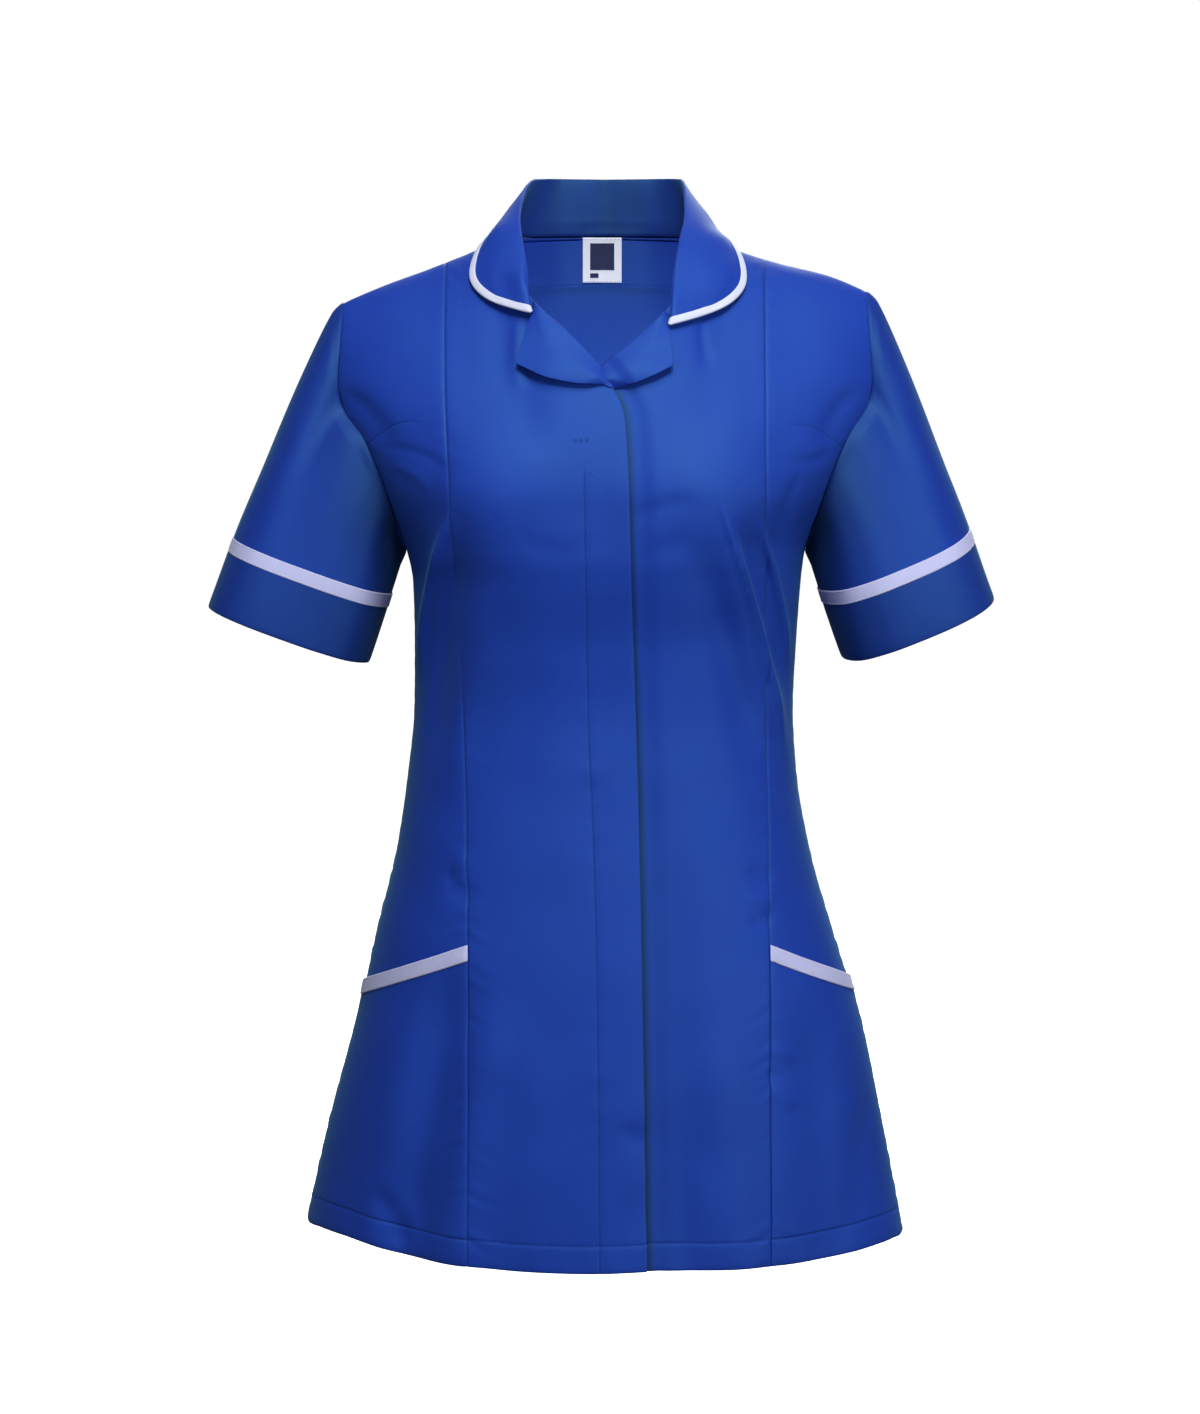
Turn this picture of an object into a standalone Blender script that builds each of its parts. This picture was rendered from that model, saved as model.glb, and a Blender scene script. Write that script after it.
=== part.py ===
"""Medical tunic, worn form with no wearer: short sleeves, bound collar, small lapels and a fly front.

Metres, +Z up. The front faces -Y and +X is the wearer's left. The origin lies between the two
side neck points, on the line of the shoulder seams, where a wearer's shoulders hold the tunic up.
"Right" and "left" in the names are the wearer's.
"""
import math

import bpy
import numpy as np

WALL = 0.0012            # cloth, with its seam allowances
THIN = 0.0010            # trims, bindings and label
SEAM_GAP = 0.00096       # between two pieces at a seam, on the outer face
LAP_GAP = 0.0005         # between a piece and what it lies on
BUST_Z = -0.185          # level below which the section is full
ARM_Z = -0.222           # lowest point of the armholes
HEM_Z = -0.7165
NECK_X = 0.075           # side neck point
SHOULDER_P, SHOULDER_Q = 1.5, 1.6   # how the shoulder rounds over into chest and back
CUFF_WIDTH = 0.043
TRIM_WIDTH = 0.0090
SLEEVE_DEPTH = 0.061     # half the cuff, front to back
POCKET_LIFT = 0.0007
BAND_WIDTH = 0.0105
MOUTH_RIGHT = (-0.5320, -0.4935)   # height of the pocket mouth's ends, from -X to +X
MOUTH_LEFT = (-0.4950, -0.5290)

BLUE = (0.024, 0.070, 0.300, 1.0)
WHITE = (0.80, 0.79, 0.86, 1.0)

# Horizontal sections of the body, one row for each height. left and right are half widths seen
# from the front, front and back the depths from the shoulder line, power the roundness.
SECTION_COLUMNS = ("height", "left", "right", "front", "back", "power")
SECTIONS = (
    (0.060, 0.206, 0.206, 0.108, 0.132, 2.20),
    (-0.050, 0.206, 0.206, 0.112, 0.134, 2.20),
    (-0.100, 0.200, 0.200, 0.116, 0.134, 2.25),
    (-0.140, 0.184, 0.185, 0.120, 0.132, 2.30),
    (-0.180, 0.163, 0.164, 0.122, 0.128, 2.35),
    (-0.222, 0.1415, 0.1425, 0.121, 0.121, 2.35),
    (-0.245, 0.1370, 0.1395, 0.118, 0.117, 2.35),
    (-0.290, 0.1360, 0.1365, 0.110, 0.110, 2.30),
    (-0.335, 0.1365, 0.1345, 0.107, 0.109, 2.25),
    (-0.380, 0.1410, 0.1370, 0.110, 0.113, 2.25),
    (-0.436, 0.1494, 0.1468, 0.117, 0.123, 2.25),
    (-0.495, 0.1640, 0.1635, 0.124, 0.131, 2.25),
    (-0.555, 0.1772, 0.1822, 0.129, 0.135, 2.25),
    (-0.633, 0.1970, 0.1978, 0.133, 0.137, 2.25),
    (-0.730, 0.2150, 0.2128, 0.136, 0.138, 2.25),
)

# Height of the shoulder line by distance from the middle.
RIDGE_COLUMNS = ("out", "left", "right")
RIDGE = (
    (0.000, 0.0550, 0.0550),
    (0.030, 0.0450, 0.0450),
    (0.055, 0.0225, 0.0225),
    (0.075, 0.0000, 0.0000),
    (0.095, -0.0098, -0.0088),
    (0.120, -0.0198, -0.0168),
    (0.160, -0.0345, -0.0268),
    (0.187, -0.0465, -0.0385),
    (0.215, -0.0640, -0.0560),
    (0.250, -0.1000, -0.0900),
)

# Seam lines seen from the front, x by height.
SEAM_COLUMNS = ("height", "x")
PRINCESS_RIGHT = (
    (0.000, -0.1135), (-0.100, -0.1115), (-0.170, -0.1080), (-0.260, -0.1040),
    (-0.340, -0.0990), (-0.500, -0.0955), (-0.730, -0.0960),
)
PRINCESS_LEFT = (
    (0.000, 0.1130), (-0.100, 0.1115), (-0.170, 0.1110), (-0.260, 0.1130),
    (-0.340, 0.1140), (-0.500, 0.1150), (-0.730, 0.1160),
)
EDGE_RIGHT = (
    (0.006, -0.0775), (0.000, -0.0750), (-0.020, -0.0665), (-0.048, -0.0496), (-0.071, -0.0245),
    (-0.0955, -0.0018), (-0.108, 0.0052), (-0.118, 0.0105), (-0.132, 0.0140), (-0.250, 0.0180),
    (-0.400, 0.0230), (-0.730, 0.0290),
)
EDGE_LEFT = (
    (0.006, 0.0775), (0.000, 0.0750), (-0.020, 0.0655), (-0.0525, 0.0435), (-0.076, 0.0190),
    (-0.094, -0.0030), (-0.108, -0.0125), (-0.125, -0.0170), (-0.150, -0.0180), (-0.250, -0.0160),
    (-0.400, -0.0110), (-0.730, -0.0050),
)
ARMHOLE = (
    (0.000, 0.1870), (-0.045, 0.1870), (-0.075, 0.1878), (-0.100, 0.1885), (-0.122, 0.1850),
    (-0.140, 0.1715), (-0.165, 0.1600), (-0.192, 0.1500), (-0.210, 0.1440), (-0.222, 0.1415),
)

# Long soft folds, from one end to the other as seen from the front: width is across the fold,
# rise is out of the body, or into it where negative. side -1 is the front, 1 the back.
FOLD_COLUMNS = ("side", "x0", "z0", "x1", "z1", "width", "rise")
FOLDS = (
    (-1, -0.112, -0.205, -0.136, -0.335, 0.011, 0.0040),
    (-1, -0.098, -0.225, -0.124, -0.375, 0.013, -0.0045),
    (-1, -0.086, -0.250, -0.112, -0.390, 0.015, 0.0030),
    (-1, 0.084, -0.200, 0.125, -0.365, 0.011, 0.0040),
    (-1, 0.100, -0.205, 0.128, -0.330, 0.010, -0.0035),
    (-1, 0.066, -0.215, 0.106, -0.370, 0.013, -0.0030),
    (-1, -0.104, -0.520, -0.142, -0.735, 0.018, -0.0080),
    (-1, -0.080, -0.540, -0.110, -0.740, 0.020, 0.0050),
    (-1, 0.044, -0.420, 0.052, -0.740, 0.020, -0.0045),
    (-1, 0.140, -0.540, 0.160, -0.740, 0.018, -0.0050),
    (-1, 0.085, -0.560, 0.094, -0.740, 0.020, 0.0035),
    (-1, -0.066, -0.040, -0.052, -0.150, 0.016, -0.0030),
    (1, -0.060, -0.240, -0.095, -0.400, 0.016, -0.0045),
    (1, 0.055, -0.230, 0.090, -0.390, 0.016, -0.0045),
    (1, -0.030, -0.250, -0.040, -0.380, 0.018, 0.0030),
    (1, 0.030, -0.480, 0.045, -0.740, 0.024, 0.0060),
    (1, -0.070, -0.500, -0.100, -0.740, 0.024, -0.0070),
    (1, 0.105, -0.500, 0.130, -0.740, 0.022, -0.0060),
    (1, 0.080, -0.090, 0.120, -0.200, 0.020, -0.0035),
    (1, -0.085, -0.090, -0.125, -0.200, 0.020, -0.0035),
)

# The collar by stations, 0 in the middle of the back and 1 at its front end: the roll and the
# outer edge. seam is how far the neck seam lies outside the neck edge, bulge how far the fall
# rounds off a straight line.
COLLAR_COLUMNS = ("station", "rx", "ry", "rz", "ex", "ey", "ez", "seam", "bulge")
COLLAR_RIGHT = (
    (0.00, 0.0000, 0.0700, 0.0446, 0.0000, 0.0810, -0.0130, 0.000, 0.0030),
    (0.18, 0.0330, 0.0635, 0.0446, 0.0400, 0.0715, -0.0135, 0.000, 0.0030),
    (0.34, 0.0510, 0.0430, 0.0432, 0.0690, 0.0430, -0.0115, 0.000, 0.0030),
    (0.46, 0.0580, 0.0170, 0.0320, 0.0812, 0.0165, -0.0025, 0.000, 0.0010),
    (0.58, 0.0590, -0.0120, 0.0140, 0.0850, -0.0050, -0.0022, 0.000, 0.0010),
    (0.72, 0.0585, -0.0330, -0.0030, 0.0920, -0.0200, -0.0130, 0.001, 0.0030),
    (0.86, 0.0548, -0.0540, -0.0240, 0.0950, -0.0370, -0.0295, 0.004, 0.0035),
    (0.95, 0.0520, -0.0665, -0.0430, 0.0945, -0.0455, -0.0385, 0.007, 0.0035),
    (1.00, 0.0500, -0.0745, -0.0560, 0.0885, -0.0515, -0.0450, 0.009, 0.0030),
)
COLLAR_LEFT = (
    (0.00, 0.0000, 0.0700, 0.0446, 0.0000, 0.0810, -0.0130, 0.000, 0.0030),
    (0.18, 0.0330, 0.0635, 0.0446, 0.0400, 0.0715, -0.0135, 0.000, 0.0030),
    (0.34, 0.0515, 0.0430, 0.0432, 0.0705, 0.0430, -0.0115, 0.000, 0.0030),
    (0.46, 0.0550, 0.0170, 0.0320, 0.0840, 0.0165, -0.0025, 0.000, 0.0010),
    (0.58, 0.0545, -0.0120, 0.0140, 0.0880, -0.0050, -0.0030, 0.000, 0.0010),
    (0.72, 0.0525, -0.0345, -0.0030, 0.0965, -0.0200, -0.0130, 0.001, 0.0030),
    (0.86, 0.0482, -0.0580, -0.0260, 0.0995, -0.0390, -0.0320, 0.004, 0.0040),
    (0.95, 0.0452, -0.0730, -0.0490, 0.0980, -0.0490, -0.0425, 0.007, 0.0040),
    (1.00, 0.0435, -0.0825, -0.0645, 0.0910, -0.0555, -0.0500, 0.009, 0.0035),
)
ROLL_RADIUS = 0.0022
COLLAR_LIFTS = (0.0018, 0.0020, 0.0022, 0.0042, 0.0064, 0.0050, 0.0042, 0.0041, 0.0041)
COLLAR_STEPS = 20        # along each half
BINDING_WIDTH = 0.0078

# Lapel corners seen from the front, from the break up the outer edge: x and height.
LAPEL_RIGHT = ((0.0000, -0.1045), (-0.0182, -0.1052), (-0.0398, -0.1018), (-0.0594, -0.0918),
               (-0.0545, -0.0760), (-0.0520, -0.0600))
LAPEL_LEFT = ((0.0100, -0.1065), (0.0210, -0.1045), (0.0330, -0.1000), (0.0447, -0.0932),
              (0.0436, -0.0800), (0.0430, -0.0690))

# How the sleeve's cloth leaves the armhole: out, back and up, and how far it keeps that way.
SLEEVE_LEAVES = {"top": (0.80, 0.00, -0.60, 0.27), "front": (0.50, -0.30, -0.80, 0.70),
                 "bottom": (0.22, 0.00, -0.97, 0.80), "back": (0.50, 0.30, -0.80, 0.70)}
# The cuff's ends as seen from the front: outer x, outer height, inner x, inner height, and how
# far its front edge hangs below its middle.
CUFF_RIGHT = (-0.2835, -0.2615, -0.1695, -0.3025, 0.0020)
CUFF_LEFT = (0.2780, -0.2545, 0.1700, -0.2985, 0.0075)


def table_curve(rows, column=1, columns=None):
    """A smooth curve through a table: its first column against another one."""
    rows = sorted(rows)
    knots = np.array([row[0] for row in rows], dtype=float)
    values = np.array([row[column] for row in rows], dtype=float)
    steps = np.diff(knots)
    slopes = np.diff(values) / steps
    tangents = np.empty_like(values)
    tangents[0], tangents[-1] = slopes[0], slopes[-1]
    for i in range(1, len(values) - 1):
        before, after = slopes[i - 1], slopes[i]
        if before * after <= 0.0:
            tangents[i] = 0.0
        else:
            one = 2.0 * steps[i] + steps[i - 1]
            two = steps[i] + 2.0 * steps[i - 1]
            tangents[i] = (one + two) / (one / before + two / after)

    def curve(at):
        at = np.clip(np.asarray(at, dtype=float), knots[0], knots[-1])
        cell = np.clip(np.searchsorted(knots, at, side="right") - 1, 0, len(steps) - 1)
        size = steps[cell]
        t = (at - knots[cell]) / size
        return (
            (2 * t**3 - 3 * t**2 + 1) * values[cell]
            + (t**3 - 2 * t**2 + t) * size * tangents[cell]
            + (3 * t**2 - 2 * t**3) * values[cell + 1]
            + (t**3 - t**2) * size * tangents[cell + 1]
        )

    return curve


HALF_LEFT, HALF_RIGHT, DEPTH_FRONT, DEPTH_BACK, POWER = (
    table_curve(SECTIONS, SECTION_COLUMNS.index(name)) for name in SECTION_COLUMNS[1:]
)
RIDGE_LEFT, RIDGE_RIGHT = (table_curve(RIDGE, RIDGE_COLUMNS.index(name)) for name in RIDGE_COLUMNS[1:])
ARMHOLE_X = table_curve(ARMHOLE)


def smooth(t):
    """A soft step from 0 to 1."""
    t = np.clip(t, 0.0, 1.0)
    return t * t * (3.0 - 2.0 * t)


def ridge_height(x):
    """Height of the shoulder line at x."""
    x = np.asarray(x, dtype=float)
    return np.where(x < 0.0, RIDGE_LEFT(-x), RIDGE_RIGHT(x))


def half_width(x, z):
    """Half width of the section at height z, on the side that x is on."""
    return np.where(np.asarray(x) < 0.0, HALF_LEFT(z), HALF_RIGHT(z))


def fold_rise(x, z, side):
    """Sum of the soft folds at a point of the front (-1) or the back (1)."""
    total = np.zeros(np.broadcast(x, z).shape)
    for place, x0, z0, x1, z1, width, rise in FOLDS:
        if place != side:
            continue
        dx, dz = x1 - x0, z1 - z0
        length = math.hypot(dx, dz)
        along = ((x - x0) * dx + (z - z0) * dz) / length**2
        across = ((x - x0) * dz - (z - z0) * dx) / length
        ends = smooth((along + 0.10) / 0.30) * smooth((1.10 - along) / 0.30)
        total = total + rise * ends * np.exp(-((across / width) ** 2))
    return total


def body_depth(x, z, side):
    """y of the body's outer face at x, z: an oval section that closes on the shoulder line."""
    x, z = np.broadcast_arrays(np.asarray(x, dtype=float), np.asarray(z, dtype=float))
    power = POWER(z)
    reach = np.clip(np.abs(x) / half_width(x, z), 0.0, 1.0)
    oval = np.clip(1.0 - reach**power, 0.0, 1.0) ** (1.0 / power)
    top = ridge_height(x)
    t = np.clip((top - z) / (top - BUST_Z), 0.0, 1.0)
    closing = (1.0 - (1.0 - t) ** SHOULDER_P) ** (1.0 / SHOULDER_Q)
    depth = np.where(side < 0, DEPTH_FRONT(z), DEPTH_BACK(z))
    soft = fold_rise(x, z, side) * smooth((1.0 - reach) / 0.18)
    if side < 0:
        bust = 0.010 * np.exp(-(((np.abs(x) - 0.082) / 0.048) ** 2) - ((z + 0.195) / 0.062) ** 2)
        soft = soft + bust
    else:
        blade = 0.005 * np.exp(-(((np.abs(x) - 0.080) / 0.050) ** 2) - ((z + 0.130) / 0.070) ** 2)
        soft = soft + blade
    return side * (depth * oval + soft) * closing


def hem_height(x, side):
    """The hem, almost level, higher towards the wearer's right side seam."""
    x = np.asarray(x)
    rise = 0.0125 * smooth((-x - 0.050) / 0.170) + 0.0030 * smooth((x - 0.090) / 0.070)
    return HEM_Z + rise


def row_height(x, level, side):
    """Height of a row: levels 0 to 1 run from hem to armhole, 1 to 2 from there to the shoulder."""
    hem, ridge = hem_height(x, side), ridge_height(x)
    if level <= 1.0:
        return hem + (ARM_Z - hem) * level
    return ARM_Z + (ridge - ARM_Z) * (level - 1.0)


def row_end(level, line, side):
    """x where a row meets a seam line, which is a function of height."""
    x = float(line(ARM_Z))
    for _ in range(60):
        x = 0.4 * x + 0.6 * float(line(row_height(x, level, side)))
    return x


def row_points(level, line_a, line_b, side, count, inset_a, inset_b, top_gap=0.0):
    """Evenly spaced points along one row, from seam line_a to seam line_b."""
    a, b = row_end(level, line_a, side), row_end(level, line_b, side)
    wide_a = max(float(half_width(a, row_height(a, level, side))), abs(a))
    wide_b = max(float(half_width(b, row_height(b, level, side))), abs(b))
    if a * b > 0.0:
        wide_a = wide_b = max(wide_a, wide_b)
    turn = np.linspace(math.asin(a / wide_a), math.asin(b / wide_b), 321)
    x = np.sin(turn) * np.where(turn < 0.0, wide_a, wide_b)
    x[0], x[-1] = a, b
    z = row_height(x, level, side)
    y = body_depth(x, z, side)
    points = np.column_stack((x, y, z))
    run = np.concatenate(([0.0], np.cumsum(np.linalg.norm(np.diff(points, axis=0), axis=1))))
    at = np.linspace(inset_a, run[-1] - inset_b, count + 1)
    points = np.column_stack([np.interp(at, run, points[:, i]) for i in range(3)])
    if level >= 2.0:
        points[:, 1] += side * top_gap
    return points


# Rows that all body panels share, so that their edges meet point by point.
LOWER_ROWS = 15
UPPER_ROWS = (0.13, 0.28, 0.43, 0.57, 0.70, 0.80, 0.88, 0.935, 0.968, 0.988, 0.997, 1.0)
LEVELS = [i / LOWER_ROWS for i in range(LOWER_ROWS + 1)] + [1.0 + u for u in UPPER_ROWS]
SHOULDER_GAP = 0.00042


def outer_right(z):
    """The wearer's right side seam, and the armhole above it."""
    return -float(ARMHOLE_X(z)) if z > ARM_Z else -float(HALF_LEFT(z))


def outer_left(z):
    """The wearer's left side seam, and the armhole above it, which starts 1 mm further out."""
    widen = 0.0010 * float(smooth((-0.12 - z) / 0.10))
    return float(ARMHOLE_X(z)) + widen if z > ARM_Z else float(HALF_RIGHT(z))


def panel_grid(line_a, line_b, side, count, inset_a=SEAM_GAP / 2, inset_b=SEAM_GAP / 2):
    """A body panel between two seam lines, from hem to shoulder, as rows of points."""
    return np.array([
        row_points(level, line_a, line_b, side, count, inset_a, inset_b, SHOULDER_GAP)
        for level in LEVELS
    ])


def grid_normals(grid, closed=False):
    """Unit normals of a grid of points, rows by columns."""
    if closed:
        wide = np.concatenate((grid[:, -1:], grid, grid[:, :1]), axis=1)
        across = (wide[:, 2:] - wide[:, :-2])
    else:
        across = np.gradient(grid, axis=1)
    up = np.gradient(grid, axis=0)
    normal = np.cross(across, up)
    return normal / np.maximum(np.linalg.norm(normal, axis=2, keepdims=True), 1e-12)


def material(name, colour, roughness):
    made = bpy.data.materials.new(name)
    made.use_nodes = True
    shader = made.node_tree.nodes["Principled BSDF"]
    shader.inputs["Base Color"].default_value = colour
    shader.inputs["Roughness"].default_value = roughness
    shader.inputs["Metallic"].default_value = 0.0
    made.diffuse_color = colour
    return made


def sheet(name, grid, collection, look, wall=WALL, offset=-1.0, closed=False, flip=False):
    """A cloth piece: an open or tubular grid of points with a wall from Solidify."""
    rows, columns = grid.shape[:2]
    faces = []
    for row in range(rows - 1):
        for column in range(columns if closed else columns - 1):
            after = (column + 1) % columns
            face = (row * columns + column, row * columns + after,
                    (row + 1) * columns + after, (row + 1) * columns + column)
            faces.append(face[::-1] if flip else face)
    mesh = bpy.data.meshes.new(name)
    mesh.from_pydata(grid.reshape(-1, 3).tolist(), [], faces)
    mesh.shade_smooth()
    made = bpy.data.objects.new(name, mesh)
    made.data.materials.append(look)
    collection.objects.link(made)
    shell = made.modifiers.new("Wall", "SOLIDIFY")
    shell.thickness = wall
    shell.offset = offset
    shell.use_even_offset = True
    shell.use_rim = True
    return made


def neck_height(x):
    """Height of the back neck edge, level with the side neck points."""
    return 0.0030 * (1.0 - (np.asarray(x) / NECK_X) ** 2)


def back_top(x):
    """Top of the back: shoulder seams, and the neck edge between them."""
    x = np.asarray(x, dtype=float)
    return np.where(np.abs(x) < NECK_X, neck_height(x), ridge_height(x))


def back_grid(columns):
    """The back, from side seam to side seam and from hem to shoulders and neck edge."""
    rows = []
    for level in LEVELS:
        a, b = row_end(level, outer_right, 1), row_end(level, outer_left, 1)
        wide_a = max(float(HALF_LEFT(row_height(a, level, 1))), -a)
        wide_b = max(float(HALF_RIGHT(row_height(b, level, 1))), b)
        turn = np.linspace(math.asin(a / wide_a), math.asin(b / wide_b), 801)
        x = np.sin(turn) * np.where(turn < 0.0, wide_a, wide_b)
        hem = hem_height(x, 1)
        z = hem + (ARM_Z - hem) * level if level <= 1.0 else ARM_Z + (back_top(x) - ARM_Z) * (level - 1.0)
        points = np.column_stack((x, body_depth(x, z, 1), z))
        run = np.concatenate(([0.0], np.cumsum(np.linalg.norm(np.diff(points, axis=0), axis=1))))
        # the neck corners keep columns of their own, so that the shoulder ends square
        corner = 7
        left, right = (np.interp(side * NECK_X, x, run) for side in (-1.0, 1.0))
        at = np.concatenate((
            np.linspace(SEAM_GAP / 2, left, corner + 1)[:-1],
            np.linspace(left, right, columns - 2 * corner + 1),
            np.linspace(right, run[-1] - SEAM_GAP / 2, corner + 1)[1:],
        ))
        points = np.column_stack([np.interp(at, run, points[:, i]) for i in range(3)])
        if level >= 2.0:
            points[:, 1] += SHOULDER_GAP * smooth((np.abs(points[:, 0]) - NECK_X + 0.004) / 0.004)
        rows.append(points)
    return np.array(rows)


def surface_point(x, z, side, lift=0.0):
    """A point on the body's outer face, moved out by lift."""
    step = 0.0005
    x, z = np.asarray(x, dtype=float), np.asarray(z, dtype=float)
    y = body_depth(x, z, side)
    slope_x = (body_depth(x + step, z, side) - body_depth(x - step, z, side)) / (2 * step)
    slope_z = (body_depth(x, z + step, side) - body_depth(x, z - step, side)) / (2 * step)
    normal = side * np.stack((-slope_x, np.ones_like(slope_x), -slope_z), axis=-1)
    normal /= np.linalg.norm(normal, axis=-1, keepdims=True)
    return np.stack((x, y, z), axis=-1) + lift * normal


def under_right_front(grid):
    """Drops the left front under the right one where they lap."""
    edge = table_curve(EDGE_RIGHT)
    out = grid.copy()
    x, z = grid[..., 0], grid[..., 2]
    lap = smooth((edge(z) + 0.020 - x) / 0.014) * smooth((-0.080 - z) / 0.012)
    out[..., 1] += (WALL + LAP_GAP + 0.0003) * lap
    return out


def collar_frame(station):
    """Neck seam, roll and edge of the collar at a station from -1 (right front end) to 1."""
    table, edge_rows, mirror = (
        (COLLAR_LEFT, EDGE_LEFT, 1.0) if station >= 0.0 else (COLLAR_RIGHT, EDGE_RIGHT, -1.0)
    )
    at = abs(station)
    value = {name: float(table_curve(table, i)(at)) for i, name in enumerate(COLLAR_COLUMNS) if i}
    roll = np.array((mirror * value["rx"], value["ry"], value["rz"]))
    edge = np.array((mirror * value["ex"], value["ey"], value["ez"]))
    if at < 0.52:
        x = NECK_X * math.sin(at / 0.52 * math.pi / 2)
        seam = surface_point(mirror * x, float(neck_height(x)) - 0.0004, 1, 0.0012)
    else:
        z = -0.0008 - (at - 0.52) / 0.48 * 0.0500
        x = mirror * (mirror * float(table_curve(edge_rows)(z)) + value["seam"])
        seam = surface_point(x, z, -1, 0.0012)
    return seam, roll, edge, value["bulge"]


def collar_grid(steps=COLLAR_STEPS):
    """Middle face of the collar: neck seam, stand, roll and fall across, front end to front end."""
    stations = np.linspace(-1.0, 1.0, 2 * steps + 1)
    frames = [collar_frame(float(s)) for s in stations]
    seam, roll, edge = (np.array([f[i] for f in frames]) for i in range(3))
    for line in (seam,):
        line[1:-1] = (line[:-2] + 2 * line[1:-1] + line[2:]) / 4
    bulge = np.array([f[3] for f in frames])[:, None]
    run = np.gradient(roll, axis=0)
    run /= np.linalg.norm(run, axis=1, keepdims=True)
    up = roll - (0.5 * seam + 0.5 * edge)
    up -= (up * run).sum(axis=1, keepdims=True) * run
    up /= np.linalg.norm(up, axis=1, keepdims=True)
    out = -np.cross(run, up)
    inner = roll - 1.4 * ROLL_RADIUS * up - ROLL_RADIUS * out
    outer = roll - 1.4 * ROLL_RADIUS * up + ROLL_RADIUS * out
    columns = [seam, 0.5 * (seam + inner), inner, roll, outer]
    band = 1.0 - (BINDING_WIDTH + 0.0014) / np.linalg.norm(edge - outer, axis=1, keepdims=True)
    for part in (0.38, 0.72, 1.0):
        t = part * band
        columns.append(outer + (edge - outer) * t + out * bulge * 4 * t * (1 - t))
    columns.append(edge)
    return np.stack(columns, axis=1)


def body_samples():
    """Points and normals of the body's outer face round the neck."""
    points = []
    for side in (-1, 1):
        x, drop = np.meshgrid(np.linspace(-0.125, 0.125, 126), np.linspace(0.0, 1.0, 60) ** 2 * 0.12)
        top = ridge_height(x) if side < 0 else back_top(x)
        z = top - drop
        if side < 0:
            inside = (x > table_curve(EDGE_RIGHT)(z)) & (x < table_curve(EDGE_LEFT)(z))
            inside |= (np.abs(x) < NECK_X) & (z > 0.0)
            x, z = x[~inside], z[~inside]
        points.append(surface_point(x.ravel(), z.ravel() - 1e-5, side, 0.0))
        lifted = surface_point(x.ravel(), z.ravel() - 1e-5, side, 1.0)
        points.append(lifted - points[-1])
    return np.concatenate(points[0::2]), np.concatenate(points[1::2])


def keep_clear(grid, needed):
    """Moves the points of a grid out to a least distance from the body, one for each column."""
    at, normal = body_samples()
    out = grid.copy()
    for _ in range(3):
        flat = out.reshape(-1, 3)
        need = np.broadcast_to(np.asarray(needed), grid.shape[:2]).ravel()
        for i, point in enumerate(flat):
            gap = point - at
            away = (gap * normal).sum(axis=1)
            near = np.argmin((gap**2).sum(axis=1))
            sideways = np.linalg.norm(gap[near] - away[near] * normal[near])
            if away[near] < need[i] and sideways < 0.004:
                flat[i] = point + normal[near] * (need[i] - away[near])
        out = flat.reshape(grid.shape)
    return out


def along_and_across(grid, u, v):
    """Point of a grid at row u and column v, which may lie between its points."""
    rows, columns = grid.shape[:2]
    i, j = min(int(u), rows - 2), min(int(v), columns - 2)
    a, b = u - i, v - j
    return ((1 - a) * (1 - b) * grid[i, j] + a * (1 - b) * grid[i + 1, j]
            + (1 - a) * b * grid[i, j + 1] + a * b * grid[i + 1, j + 1])


def binding_grid(grid):
    """The collar's binding: a strip wrapped round its front ends and outer edge."""
    rows, columns = grid.shape[:2]
    normal = grid_normals(grid)
    last = columns - 1.0
    half = WALL / 2 + 0.0008 + THIN / 2
    path, inward = [], []

    def step_in(u, v, du, dv):
        here = along_and_across(grid, u, v)
        probe = along_and_across(grid, u + 0.2 * du, v + 0.2 * dv)
        size = BINDING_WIDTH / max(np.linalg.norm(probe - here) / 0.2, 1e-9)
        return u + du * size, v + dv * size

    cu = min(step_in(0.0, last, 1.0, 0.0)[0], 0.9)
    cv = step_in(0.0, last, 0.0, -1.0)[1]
    end = rows - 1
    for v in (4.6, 5.2, 6.1, 7.0):
        path.append((0.0, v))
        inward.append((cu, v))
    path.append((0.0, last))
    inward.append((cu, cv))
    for u in range(1, end):
        path.append((u, last))
        inward.append(step_in(u, last, 0.0, -1.0))
    mirrored = list(zip(path, inward))[:5]
    for (u, v), (ui, vi) in reversed(mirrored):
        path.append((end - u, v))
        inward.append((end - ui, vi))
    lines = []
    run = np.gradient(np.array([along_and_across(grid, u, v) for u, v in path]), axis=0)
    run /= np.linalg.norm(run, axis=1, keepdims=True)
    for (u, v), (ui, vi), along in zip(path, inward, run):
        edge, inner = along_and_across(grid, u, v), along_and_across(grid, ui, vi)
        n_edge, n_inner = (along_and_across(normal, i, max(j, 5.0)) for i, j in ((u, v), (ui, vi)))
        away = edge - inner
        away /= np.linalg.norm(away)
        # the same way out from the edge where the rows meet it at a slant
        slant = max(np.linalg.norm(away - (away @ along) * along), 0.5)
        corner = 1.4 if v == last and u in (0, end) else 1.0
        tip = edge + away * (0.0004 + THIN / 2) * corner / slant
        under = edge + 0.4 * (inner - edge)
        lines.append((inner + n_inner * half, tip + n_edge * half, tip - n_edge * half,
                      under - (0.4 * n_inner + 0.6 * n_edge) * half))
    return np.array(lines)


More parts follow.
